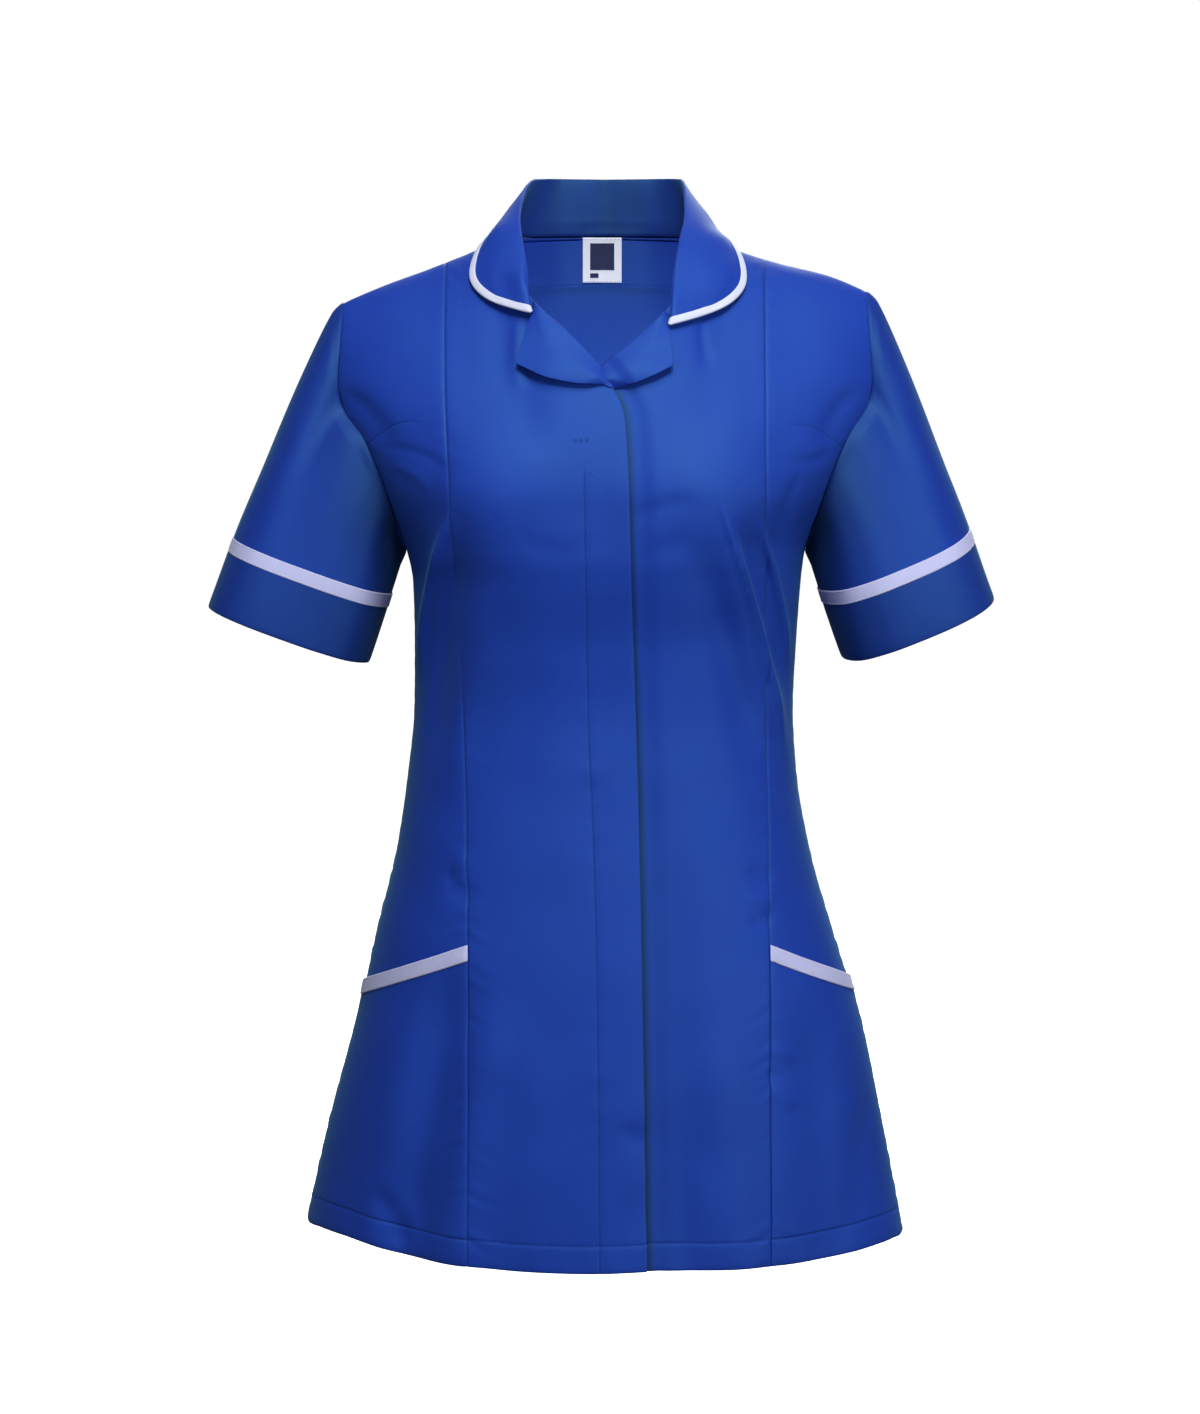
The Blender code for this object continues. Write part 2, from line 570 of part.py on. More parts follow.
def lapel_grid(corners, edge_rows, side_sign, steps=7):
    """A lapel between the roll line and its outer edge, lifted off the front and standing away
    at its tip. It starts at the break and ends at the notch."""
    edge, over = table_curve(edge_rows), table_curve(EDGE_RIGHT)
    low, high = corners[0][1] - 0.0035, corners[-1][1]   # the break lies lower than the edge
    outline = np.array(corners)
    lengths = np.concatenate(([0.0], np.cumsum(np.linalg.norm(np.diff(outline, axis=0), axis=1))))
    lengths /= lengths[-1]
    grid = []
    for i in range(steps + 1):
        t = i / steps
        z = low + (high - low) * t
        roll = np.array((float(edge(z)) + 0.0007 * side_sign, z))
        if side_sign > 0:
            roll[0] = max(roll[0], float(over(z)) + 0.0020)
        # the tip's corner stays on a row
        tip = lengths[3]
        rim = tip * (t / 0.5) if t < 0.5 else tip + (1 - tip) * (t - 0.5) / 0.5
        outer = np.array([np.interp(rim, lengths, outline[:, k]) for k in range(2)])
        row = []
        for j in range(6):
            s = 0.02 + 0.98 * j / 5
            x, z_here = roll + (outer - roll) * s
            lift = 0.0012 + 0.0032 * math.sin(math.pi * min(s, 0.55)) * (0.4 + 0.6 * t)
            row.append(surface_point(x, z_here, -1, lift))
        grid.append(row)
    return np.array(grid)


def sleeve_start(front, back, side_sign):
    """The armhole as a loop of points, from the shoulder down the front and up the back."""
    end = -1 if side_sign > 0 else 0
    first = LOWER_ROWS
    keep = [i for i in range(first, len(LEVELS)) if LEVELS[i] not in (1.997, 1.968)]
    f_normal, b_normal = grid_normals(front), -grid_normals(back)
    loop, normals = [], []
    top = 0.5 * (front[-1, end] + back[-1, end])
    loop.append(top)
    normals.append(0.5 * (f_normal[-1, end] + b_normal[-1, end]))
    for i in reversed(keep[1:-1]):
        loop.append(front[i, end])
        normals.append(f_normal[i, end])
    loop.append(0.5 * (front[first, end] + back[first, end]))
    normals.append(np.array((side_sign, 0.0, 0.0)))
    for i in keep[1:-1]:
        loop.append(back[i, end])
        normals.append(b_normal[i, end])
    normals = np.array(normals)
    normals /= np.linalg.norm(normals, axis=1, keepdims=True)
    return np.array(loop), normals


def sleeve_lines(loop, normals, cuff, side_sign):
    """One line down the sleeve for each point of the armhole, each 200 points to the hem."""
    gap = LAP_GAP + WALL / 2 + 0.0004
    start = loop + normals * gap
    run = np.linalg.norm(np.roll(loop, -1, axis=0) - loop, axis=1)
    turn = 2 * math.pi * np.concatenate(([0.0], np.cumsum(run)[:-1])) / run.sum()
    outer = np.array((cuff[0], 0.0, cuff[1]))
    inner = np.array((cuff[2], 0.0, cuff[3]))
    middle, across = 0.5 * (outer + inner), 0.5 * (outer - inner)
    forward = np.array((0.0, -SLEEVE_DEPTH, -cuff[4]))
    axis = np.cross(across / np.linalg.norm(across), forward / np.linalg.norm(forward))
    axis *= -np.sign(axis[2])
    lines = []
    for point, angle in zip(start, turn):
        c, s = math.cos(angle), math.sin(angle)
        # a slightly flattened ring
        power = 2.2
        size = (abs(c) ** power + abs(s) ** power) ** (-1 / power)
        end = middle + across * c * size + forward * s * size
        weights = {"top": max(c, 0.0), "front": max(s, 0.0), "bottom": max(-c, 0.0),
                   "back": max(-s, 0.0)}
        leave = sum(np.array(SLEEVE_LEAVES[k]) * w * w for k, w in weights.items())
        strength = leave[3]
        leave = leave[:3] * np.array((side_sign, 1.0, 1.0))
        leave /= np.linalg.norm(leave)
        chord = np.linalg.norm(end - point)
        t = np.linspace(0.0, 1.0, 200)[:, None]
        line = ((2 * t**3 - 3 * t**2 + 1) * point + (t**3 - 2 * t**2 + t) * leave * chord * strength
                + (3 * t**2 - 2 * t**3) * end + (t**3 - t**2) * axis * chord * 0.50)
        lines.append(line)
    return np.array(lines)


def sleeve_rings(lines, from_hem_low, from_hem_high, count):
    """Rings of the sleeve between two distances from the hem (None is the armhole)."""
    rings = []
    for line in lines:
        run = np.concatenate(([0.0], np.cumsum(np.linalg.norm(np.diff(line, axis=0), axis=1))))
        high = 0.0 if from_hem_high is None else run[-1] - from_hem_high
        at = np.linspace(run[-1] - from_hem_low, high, count + 1)
        rings.append(np.column_stack([np.interp(at, run, line[:, k]) for k in range(3)]))
    return np.array(rings).transpose(1, 0, 2)


def moved_out(grid, lift, closed=False):
    """A copy of a grid, moved along its normals."""
    return grid + grid_normals(grid, closed) * lift


def facing_grid():
    """The back neck facing, inside the back below its neck edge."""
    grid = []
    for drop in (0.0345, 0.0255, 0.0165, 0.0075, 0.0012):
        row = []
        for t in np.linspace(-1.0, 1.0, 19):
            x = (NECK_X - 0.0035 + 0.016 * drop / 0.0345) * math.sin(t * math.pi / 2)
            z = float(back_top(x)) - drop - 0.0020 * abs(t)
            row.append(surface_point(x, z, 1, -(WALL + 0.0012)))
        grid.append(row)
    return np.array(grid)


def label_grid():
    """The label, hung from the neck seam inside the facing."""
    grid = []
    for z in np.linspace(-0.0300, 0.0010, 5):
        grid.append([surface_point(x, z, 1, -(2 * WALL + 0.0012 + LAP_GAP))
                     for x in np.linspace(-0.0155, 0.0135, 5)])
    return np.array(grid)


def patch_over(panel, mouth_a, mouth_b, band=None):
    """Points of a side panel from a slanted mouth down to the hem, or the band under the mouth.

    They keep the panel's own rows and columns, so that the pocket lies on it without cutting in.
    """
    columns = panel.shape[1]
    across = np.array([np.interp((mouth_a + mouth_b) / 2, panel[:, j, 2], panel[:, j, 0])
                       for j in range(columns)])
    mouth = mouth_a + (mouth_b - mouth_a) * (across - across[0]) / (across[-1] - across[0])
    whole = [i for i in range(LOWER_ROWS + 1) if panel[i, :, 2].max() < mouth.min() - 0.004]
    grid = []
    for j in range(columns):
        line = panel[:LOWER_ROWS + 1, j]
        if band is None:
            z = [line[i, 2] for i in whole] + [min(line[whole[-1] + 1, 2], mouth[j] - 0.010), mouth[j]]
            z[0] += 0.0006
        else:
            z = [mouth[j] - band, mouth[j] - 0.0002]
        grid.append(np.column_stack([np.interp(z, line[:, 2], line[:, k]) for k in range(3)]))
    return np.array(grid).transpose(1, 0, 2)


def clear_scene():
    for old in list(bpy.data.objects):
        bpy.data.objects.remove(old, do_unlink=True)


def build():
    clear_scene()
    parts = bpy.data.collections.new("Medical tunic")
    bpy.context.scene.collection.children.link(parts)
    blue = material("Royal blue poplin", BLUE, 0.78)
    white = material("White binding", WHITE, 0.70)
    princess_r, princess_l = table_curve(PRINCESS_RIGHT), table_curve(PRINCESS_LEFT)
    edge_r, edge_l = table_curve(EDGE_RIGHT), table_curve(EDGE_LEFT)

    # body panels, rows from hem to shoulder and columns from -X to +X
    front_right = panel_grid(princess_r, edge_r, -1, 11, SEAM_GAP / 2, 0.0)
    front_left = under_right_front(panel_grid(edge_l, princess_l, -1, 11, 0.0, SEAM_GAP / 2))
    side_right = panel_grid(outer_right, princess_r, -1, 6)
    side_left = panel_grid(princess_l, outer_left, -1, 6)
    back = back_grid(26)
    sheet("front_right", front_right, parts, blue)
    sheet("front_left", front_left, parts, blue)
    sheet("side_front_right", side_right, parts, blue)
    sheet("side_front_left", side_left, parts, blue)
    sheet("back", back, parts, blue, flip=True)

    # sleeves, each with its cuff and the white trim that hides the seam between them
    for name, front, cuff, sign in (("right", side_right, CUFF_RIGHT, -1.0),
                                    ("left", side_left, CUFF_LEFT, 1.0)):
        loop, normals = sleeve_start(front, back, sign)
        lines = sleeve_lines(loop, normals, cuff, sign)
        flip = sign > 0
        above = sleeve_rings(lines, CUFF_WIDTH + TRIM_WIDTH + 0.0005, None, 5)
        upper = np.concatenate((sleeve_rings(lines, CUFF_WIDTH + 0.0004, None, 6)[:1], above))
        lower = sleeve_rings(lines, 0.0, CUFF_WIDTH, 1)
        middle = sleeve_rings(lines, CUFF_WIDTH - 0.0010, CUFF_WIDTH + TRIM_WIDTH, 1)
        sheet("sleeve_" + name, upper, parts, blue, offset=0.0, closed=True, flip=flip)
        sheet("cuff_" + name, lower, parts, blue, offset=0.0, closed=True, flip=flip)
        out = moved_out(middle, (-1.0 if flip else 1.0) * (WALL / 2 + LAP_GAP + THIN / 2), True)
        sheet("sleeve_trim_" + name, out, parts, white, THIN, 0.0, closed=True, flip=flip)

    # collar, its binding and the lapels
    collar = keep_clear(collar_grid(), COLLAR_LIFTS)
    for _ in range(2):
        collar[1:-1, 4:] = (collar[:-2, 4:] + 2 * collar[1:-1, 4:] + collar[2:, 4:]) / 4
    collar = keep_clear(collar, [lift - 0.00035 for lift in COLLAR_LIFTS])
    sheet("collar", collar, parts, blue, offset=0.0)
    sheet("collar_binding", binding_grid(collar), parts, white, THIN, 0.0)
    sheet("lapel_right", lapel_grid(LAPEL_RIGHT, EDGE_RIGHT, -1.0), parts, blue, offset=0.0)
    sheet("lapel_left", lapel_grid(LAPEL_LEFT, EDGE_LEFT, 1.0), parts, blue, offset=0.0)

    # inside the back neck
    sheet("back_neck_facing", facing_grid(), parts, blue, flip=True)
    sheet("neck_label", label_grid(), parts, white, 0.0008, flip=True)

    # pockets over the side fronts, each with its bound mouth
    for name, panel, mouth in (("right", side_right, MOUTH_RIGHT), ("left", side_left, MOUTH_LEFT)):
        pocket = patch_over(panel, mouth[0], mouth[1])
        band = patch_over(panel, mouth[0], mouth[1], BAND_WIDTH)
        sheet("pocket_" + name, moved_out(pocket, POCKET_LIFT), parts, blue, THIN, 1.0)
        sheet("pocket_binding_" + name, moved_out(band, POCKET_LIFT + THIN + LAP_GAP), parts,
              white, THIN, 1.0)


build()
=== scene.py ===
"""Looks of the medical tunic: fine cloth, seams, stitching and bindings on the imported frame.

Metres, +Z up, the front faces -Y. "Right" and "left" in the names are the wearer's. The form is
worked out from the same named sizes as the solids, on fine grids, and every cloth piece is a
closed thin shell with soft folds, seam grooves and an even rolled edge.
"""

import logging
import math
from dataclasses import dataclass, field, replace
from enum import Enum

import bpy
import numpy as np
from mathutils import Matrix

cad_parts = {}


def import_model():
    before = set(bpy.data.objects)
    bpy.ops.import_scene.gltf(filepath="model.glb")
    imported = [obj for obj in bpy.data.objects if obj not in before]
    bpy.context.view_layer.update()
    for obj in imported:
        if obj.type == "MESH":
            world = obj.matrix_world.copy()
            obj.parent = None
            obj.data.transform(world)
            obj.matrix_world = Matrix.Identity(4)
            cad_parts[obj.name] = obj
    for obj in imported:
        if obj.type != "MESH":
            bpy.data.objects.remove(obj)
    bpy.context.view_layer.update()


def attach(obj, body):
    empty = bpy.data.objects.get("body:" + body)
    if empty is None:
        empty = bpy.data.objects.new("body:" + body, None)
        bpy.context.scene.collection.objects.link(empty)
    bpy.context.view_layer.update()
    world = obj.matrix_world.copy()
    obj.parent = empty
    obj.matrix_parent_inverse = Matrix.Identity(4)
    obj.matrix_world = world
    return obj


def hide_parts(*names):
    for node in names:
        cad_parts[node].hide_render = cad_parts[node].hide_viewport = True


LOG = logging.getLogger("medical_tunic")
Array = np.ndarray

ARM_Z = -0.222
BUST_Z = -0.185
HEM_Z = -0.7165
NECK_X = 0.075
SHOULDER_P, SHOULDER_Q = 1.5, 1.6
HEM_TURN = 0.019
UNDERLAP = 0.0028         # how far the left front is pressed in where the right one laps over
SHOULDER_GAP = 0.00008    # from a fine panel's shoulder edge to the shoulder line
SOLID_SHOULDER_GAP = 0.00042
SOLID_INSET = 0.00048     # from a solid panel's edge to its seam line

SECTION_COLUMNS = ("height", "left", "right", "front", "back", "power")
SECTIONS = (
    (0.060, 0.206, 0.206, 0.108, 0.132, 2.20),
    (-0.050, 0.206, 0.206, 0.112, 0.134, 2.20),
    (-0.100, 0.200, 0.200, 0.116, 0.134, 2.25),
    (-0.140, 0.184, 0.185, 0.120, 0.132, 2.30),
    (-0.180, 0.163, 0.164, 0.122, 0.128, 2.35),
    (-0.222, 0.1415, 0.1425, 0.121, 0.121, 2.35),
    (-0.245, 0.1370, 0.1395, 0.118, 0.117, 2.35),
    (-0.290, 0.1360, 0.1365, 0.110, 0.110, 2.30),
    (-0.335, 0.1365, 0.1345, 0.107, 0.109, 2.25),
    (-0.380, 0.1410, 0.1370, 0.110, 0.113, 2.25),
    (-0.436, 0.1494, 0.1468, 0.117, 0.123, 2.25),
    (-0.495, 0.1640, 0.1635, 0.124, 0.131, 2.25),
    (-0.555, 0.1772, 0.1822, 0.129, 0.135, 2.25),
    (-0.633, 0.1980, 0.1988, 0.133, 0.137, 2.15),
    (-0.730, 0.2200, 0.2178, 0.136, 0.138, 1.98),
)
SEAM_COLUMNS = ("at", "value")
# Height of the hem over HEM_Z by x: it rises towards the side seams and dips again at them.
HEM_RISE = (
    (-0.230, 0.0070), (-0.2125, 0.0108), (-0.2020, 0.0126), (-0.1860, 0.0119), (-0.1700, 0.0095),
    (-0.1540, 0.0064), (-0.1340, 0.0037), (-0.0940, 0.0012), (-0.0600, -0.0010), (-0.0140, -0.0018),
    (0.0350, -0.0006), (0.1190, -0.0008), (0.1570, 0.0002), (0.1770, 0.0018), (0.1950, 0.0034),
    (0.2050, 0.0036), (0.2130, 0.0022), (0.230, 0.0018),
)
RIDGE_COLUMNS = ("out", "left", "right")
RIDGE = (
    (0.000, 0.0550, 0.0550),
    (0.030, 0.0450, 0.0450),
    (0.055, 0.0225, 0.0225),
    (0.075, 0.0000, 0.0000),
    (0.095, -0.0098, -0.0088),
    (0.120, -0.0198, -0.0168),
    (0.160, -0.0345, -0.0268),
    (0.187, -0.0465, -0.0385),
    (0.215, -0.0640, -0.0560),
    (0.250, -0.1000, -0.0900),
)
# Seam lines seen from the front: x by height.
PRINCESS_RIGHT = (
    (0.000, -0.1135), (-0.100, -0.1115), (-0.170, -0.1080), (-0.260, -0.1040),
    (-0.340, -0.0990), (-0.500, -0.0955), (-0.730, -0.0960),
)
PRINCESS_LEFT = (
    (0.000, 0.1130), (-0.100, 0.1115), (-0.170, 0.1110), (-0.260, 0.1130),
    (-0.340, 0.1140), (-0.500, 0.1150), (-0.730, 0.1160),
)
EDGE_RIGHT = (
    (0.006, -0.0775), (0.000, -0.0750), (-0.020, -0.0665), (-0.048, -0.0496), (-0.071, -0.0245),
    (-0.0955, -0.0018), (-0.108, 0.0052), (-0.118, 0.0105), (-0.132, 0.0140), (-0.250, 0.0180),
    (-0.400, 0.0230), (-0.730, 0.0290),
)
EDGE_LEFT = (
    (0.006, 0.0775), (0.000, 0.0750), (-0.020, 0.0655), (-0.0525, 0.0435), (-0.076, 0.0190),
    (-0.094, -0.0030), (-0.108, -0.0125), (-0.125, -0.0170), (-0.150, -0.0180), (-0.250, -0.0160),
    (-0.400, -0.0110), (-0.730, -0.0050),
)
ARMHOLE = (
    (0.000, 0.1870), (-0.045, 0.1870), (-0.075, 0.1878), (-0.100, 0.1885), (-0.122, 0.1850),
    (-0.140, 0.1715), (-0.165, 0.1600), (-0.192, 0.1500), (-0.210, 0.1440), (-0.222, 0.1415),
)

# Folds of the solids: side (-1 front, 1 back), x0, z0, x1, z1 as seen from the front, width, rise.
FOLDS = (
    (-1, -0.112, -0.205, -0.136, -0.335, 0.011, 0.0040),
    (-1, -0.098, -0.225, -0.124, -0.375, 0.013, -0.0045),
    (-1, -0.086, -0.250, -0.112, -0.390, 0.015, 0.0030),
    (-1, 0.084, -0.200, 0.125, -0.365, 0.011, 0.0040),
    (-1, 0.100, -0.205, 0.128, -0.330, 0.010, -0.0035),
    (-1, 0.066, -0.215, 0.106, -0.370, 0.013, -0.0030),
    (-1, -0.104, -0.520, -0.142, -0.735, 0.018, -0.0080),
    (-1, -0.080, -0.540, -0.110, -0.740, 0.020, 0.0050),
    (-1, 0.044, -0.420, 0.052, -0.740, 0.020, -0.0045),
    (-1, 0.140, -0.540, 0.160, -0.740, 0.018, -0.0050),
    (-1, 0.085, -0.560, 0.094, -0.740, 0.020, 0.0035),
    (-1, -0.066, -0.040, -0.052, -0.150, 0.016, -0.0030),
    (1, -0.060, -0.240, -0.095, -0.400, 0.016, -0.0045),
    (1, 0.055, -0.230, 0.090, -0.390, 0.016, -0.0045),
    (1, -0.030, -0.250, -0.040, -0.380, 0.018, 0.0030),
    (1, 0.030, -0.480, 0.045, -0.740, 0.024, 0.0060),
    (1, -0.070, -0.500, -0.100, -0.740, 0.024, -0.0070),
    (1, 0.105, -0.500, 0.130, -0.740, 0.022, -0.0060),
    (1, 0.080, -0.090, 0.120, -0.200, 0.020, -0.0035),
    (1, -0.085, -0.090, -0.125, -0.200, 0.020, -0.0035),
)

# Finer creases, each a soft ridge or trough along a bowed line, sharper on one flank where skew
# isn't 0. The first ones follow the photograph, the rest are their like on the hidden sides.
# Columns: side, x0, z0, x1, z1, bow, width, rise, skew.
CREASES = (
    (-1, -0.107, -0.196, -0.131, -0.312, 0.004, 0.0030, 0.0050, 0.45),
    (-1, -0.099, -0.206, -0.122, -0.345, 0.003, 0.0070, -0.0026, 0.0),
    (-1, 0.079, -0.188, 0.127, -0.364, -0.004, 0.0028, 0.0052, -0.5),
    (-1, 0.107, -0.203, 0.129, -0.306, -0.002, 0.0026, 0.0040, -0.5),
    (-1, 0.092, -0.200, 0.119, -0.320, -0.002, 0.0070, -0.0026, 0.0),
    (-1, 0.070, -0.236, 0.102, -0.356, 0.001, 0.0100, -0.0016, 0.0),
    (-1, 0.018, -0.198, 0.062, -0.184, -0.003, 0.0055, -0.0011, 0.3),
    (-1, 0.021, -0.230, 0.058, -0.212, -0.003, 0.0065, -0.0009, 0.3),
    (-1, -0.060, -0.210, -0.016, -0.222, 0.003, 0.0070, -0.0007, 0.3),
    (-1, -0.155, -0.149, -0.108, -0.165, -0.005, 0.0036, -0.0012, 0.4),
    (-1, -0.150, -0.161, -0.120, -0.178, -0.003, 0.0040, 0.0010, 0.0),
    (-1, 0.128, -0.158, 0.158, -0.152, 0.003, 0.0040, -0.0011, 0.3),
    (-1, 0.136, -0.165, 0.119, -0.228, 0.003, 0.0055, -0.0014, 0.0),
    (-1, -0.054, -0.055, -0.051, -0.106, 0.001, 0.0045, -0.0015, 0.0),
    (-1, -0.061, -0.060, -0.060, -0.110, 0.001, 0.0048, 0.0012, 0.0),
    (-1, 0.067, -0.060, 0.071, -0.094, 0.001, 0.0040, -0.0012, 0.0),
    (-1, -0.110, -0.442, -0.094, -0.466, 0.000, 0.0075, -0.0014, 0.0),
    (-1, -0.104, -0.452, -0.096, -0.430, 0.000, 0.0060, 0.0012, 0.0),
    (-1, 0.012, -0.616, 0.026, -0.630, 0.000, 0.0080, -0.0010, 0.0),
    (-1, 0.099, -0.442, 0.117, -0.450, 0.001, 0.0045, -0.0012, 0.0),
    (-1, 0.097, -0.459, 0.117, -0.466, 0.001, 0.0044, 0.0014, 0.0),
    (-1, 0.100, -0.478, 0.119, -0.476, 0.001, 0.0042, -0.0013, 0.0),
    (-1, 0.116, -0.563, 0.131, -0.574, 0.001, 0.0050, 0.0012, 0.0),
    (-1, 0.116, -0.590, 0.132, -0.607, 0.001, 0.0050, 0.0013, 0.0),
    (-1, 0.114, -0.580, 0.122, -0.588, 0.001, 0.0046, -0.0010, 0.0),
    (-1, -0.159, -0.668, -0.141, -0.706, 0.000, 0.0085, -0.0024, 0.0),
    (-1, -0.139, -0.672, -0.128, -0.712, 0.000, 0.0080, 0.0012, 0.0),
    (-1, 0.188, -0.600, 0.176, -0.712, 0.002, 0.0120, -0.0026, 0.0),
    (-1, -0.045, -0.560, -0.052, -0.720, 0.003, 0.0160, 0.0014, 0.0),
    (-1, 0.008, -0.330, 0.010, -0.470, 0.002, 0.0100, 0.0007, 0.0),
    (-1, -0.050, -0.300, -0.060, -0.400, 0.003, 0.0140, -0.0012, 0.0),
    (-1, 0.066, -0.640, 0.072, -0.722, 0.002, 0.0110, 0.0013, 0.0),
    (-1, -0.182, -0.110, -0.150, -0.150, -0.004, 0.0080, -0.0022, 0.0),
    (-1, 0.176, -0.108, 0.152, -0.150, 0.004, 0.0080, -0.0022, 0.0),
    (1, -0.052, -0.245, -0.088, -0.352, 0.004, 0.0042, 0.0020, 0.4),
    (1, 0.060, -0.236, 0.094, -0.360, -0.004, 0.0040, 0.0018, -0.4),
    (1, -0.100, -0.262, -0.118, -0.372, 0.003, 0.0070, -0.0016, 0.0),
    (1, 0.104, -0.258, 0.120, -0.366, -0.003, 0.0070, -0.0016, 0.0),
    (1, -0.040, -0.300, 0.032, -0.306, -0.006, 0.0075, -0.0016, 0.3),
    (1, -0.052, -0.322, 0.052, -0.326, -0.007, 0.0080, 0.0013, 0.0),
    (1, -0.034, -0.346, 0.040, -0.344, -0.006, 0.0070, -0.0012, 0.3),
    (1, -0.156, -0.128, -0.112, -0.190, -0.004, 0.0070, -0.0020, 0.0),
    (1, 0.158, -0.124, 0.116, -0.186, 0.004, 0.0070, -0.0020, 0.0),
    (1, -0.060, -0.620, -0.066, -0.722, 0.002, 0.0110, 0.0018, 0.0),
    (1, 0.004, -0.560, 0.000, -0.722, 0.003, 0.0150, 0.0020, 0.0),
    (1, 0.072, -0.600, 0.086, -0.722, 0.002, 0.0120, -0.0018, 0.0),
    (1, -0.020, -0.052, -0.024, -0.110, 0.001, 0.0050, -0.0010, 0.0),
)

# Faint waviness of worn cloth: waves by x, waves by z, phase, rise.
WAVES = (
    (61.0, 23.0, 0.4, 0.00022), (-37.0, 49.0, 1.7, 0.00026), (93.0, -31.0, 2.9, 0.00014),
    (18.0, 88.0, 4.1, 0.00013), (131.0, 57.0, 5.2, 0.00008), (-77.0, 119.0, 0.9, 0.00007),
)

# Collar by station, 0 at the back and 1 at a front end: roll, outer edge, seam's shift, bulge.
COLLAR_COLUMNS = ("station", "rx", "ry", "rz", "ex", "ey", "ez", "seam", "bulge")
COLLAR_RIGHT = (
    (0.00, 0.0000, 0.0700, 0.0446, 0.0000, 0.0810, -0.0130, 0.000, 0.0030),
    (0.18, 0.0330, 0.0635, 0.0446, 0.0400, 0.0715, -0.0135, 0.000, 0.0030),
    (0.34, 0.0510, 0.0430, 0.0432, 0.0690, 0.0430, -0.0115, 0.000, 0.0030),
    (0.46, 0.0580, 0.0170, 0.0320, 0.0812, 0.0165, -0.0025, 0.000, 0.0035),
    (0.58, 0.0605, -0.0120, 0.0140, 0.0850, -0.0050, -0.0022, 0.000, 0.0035),
    (0.72, 0.0585, -0.0330, -0.0030, 0.0920, -0.0200, -0.0130, 0.001, 0.0030),
    (0.86, 0.0548, -0.0540, -0.0240, 0.0950, -0.0370, -0.0295, 0.004, 0.0035),
    (0.95, 0.0520, -0.0665, -0.0430, 0.0945, -0.0455, -0.0385, 0.007, 0.0035),
    (1.00, 0.0500, -0.0745, -0.0560, 0.0885, -0.0515, -0.0450, 0.009, 0.0030),
)
COLLAR_LEFT = (
    (0.00, 0.0000, 0.0700, 0.0446, 0.0000, 0.0810, -0.0130, 0.000, 0.0030),
    (0.18, 0.0370, 0.0635, 0.0446, 0.0430, 0.0715, -0.0135, 0.000, 0.0030),
    (0.34, 0.0550, 0.0430, 0.0432, 0.0725, 0.0430, -0.0115, 0.000, 0.0030),
    (0.46, 0.0572, 0.0170, 0.0320, 0.0845, 0.0165, -0.0025, 0.000, 0.0035),
    (0.58, 0.0565, -0.0120, 0.0140, 0.0880, -0.0050, -0.0030, 0.000, 0.0035),
    (0.72, 0.0525, -0.0345, -0.0030, 0.0965, -0.0200, -0.0130, 0.001, 0.0030),
    (0.86, 0.0482, -0.0580, -0.0260, 0.0995, -0.0390, -0.0320, 0.004, 0.0040),
    (0.95, 0.0452, -0.0730, -0.0490, 0.0980, -0.0490, -0.0425, 0.007, 0.0040),
    (1.00, 0.0435, -0.0825, -0.0645, 0.0910, -0.0555, -0.0500, 0.009, 0.0035),
)
ROLL_RADIUS = 0.0022
COLLAR_LIFTS = (0.0018, 0.0020, 0.0022, 0.0042, 0.0064, 0.0050, 0.0042, 0.0041, 0.0041)
COLLAR_STEPS = 20
BINDING_WIDTH = 0.0078    # the solid's
BAND_SHOWN = 0.0142

# Outlines of the lapels from the break to the notch, x and z, and which point is the tip.
LAPEL_RIGHT = (
    (0.0046, -0.1072), (-0.0002, -0.1052), (-0.0100, -0.1060), (-0.0179, -0.1058),
    (-0.0290, -0.1042), (-0.0392, -0.1016), (-0.0592, -0.0922), (-0.0540, -0.0745),
    (-0.0518, -0.0635), (-0.0498, -0.0565), (-0.0490, -0.0490),
)
LAPEL_LEFT = (
    (0.0046, -0.1082), (0.0115, -0.1070), (0.0204, -0.1050), (0.0330, -0.1000),
    (0.0447, -0.0935), (0.0437, -0.0800), (0.0432, -0.0660), (0.0432, -0.0560),
)
LAPEL_TIPS = {"right": 6, "left": 4}

# How the sleeve leaves the armhole: direction and, last, strength.
SLEEVE_LEAVES = {"top": (0.80, 0.00, -0.60, 0.27), "front": (0.50, -0.30, -0.80, 0.70),
                 "bottom": (0.22, 0.00, -0.97, 0.80), "back": (0.50, 0.30, -0.80, 0.70)}
# Ends of the cuff's hem: outer x and z, inner x and z, and how far its front dips.
CUFF_RIGHT = (-0.2835, -0.2615, -0.1695, -0.3025, 0.0020)
CUFF_LEFT = (0.2780, -0.2545, 0.1700, -0.2985, 0.0075)
CUFF_WIDTH = 0.043
TRIM_WIDTH = 0.0090
SLEEVE_DEPTH = 0.061
SLEEVE_GAP = 0.0015
BAND_WIDTH = 0.0105
MOUTH_RIGHT = (-0.5320, -0.4935)   # height of the pocket mouth's ends, from -X to +X
MOUTH_LEFT = (-0.4950, -0.5290)
CAMERA_SLOPE = 0.139               # a mouth that is straight in the picture drops by this much of y

# Bends of the sleeve: rise, place round it, its drift with height, width, where it starts.
SLEEVE_BENDS = (
    (0.0016, 0.95, 4.0, 0.20, 0.03), (-0.0018, 1.50, 3.0, 0.22, 0.03), (0.0012, 2.15, 1.5, 0.18, 0.02),
    (0.0015, 5.20, -3.0, 0.20, 0.03), (-0.0017, 4.60, -3.5, 0.24, 0.03), (0.0010, 3.95, -1.5, 0.18, 0.02),
)

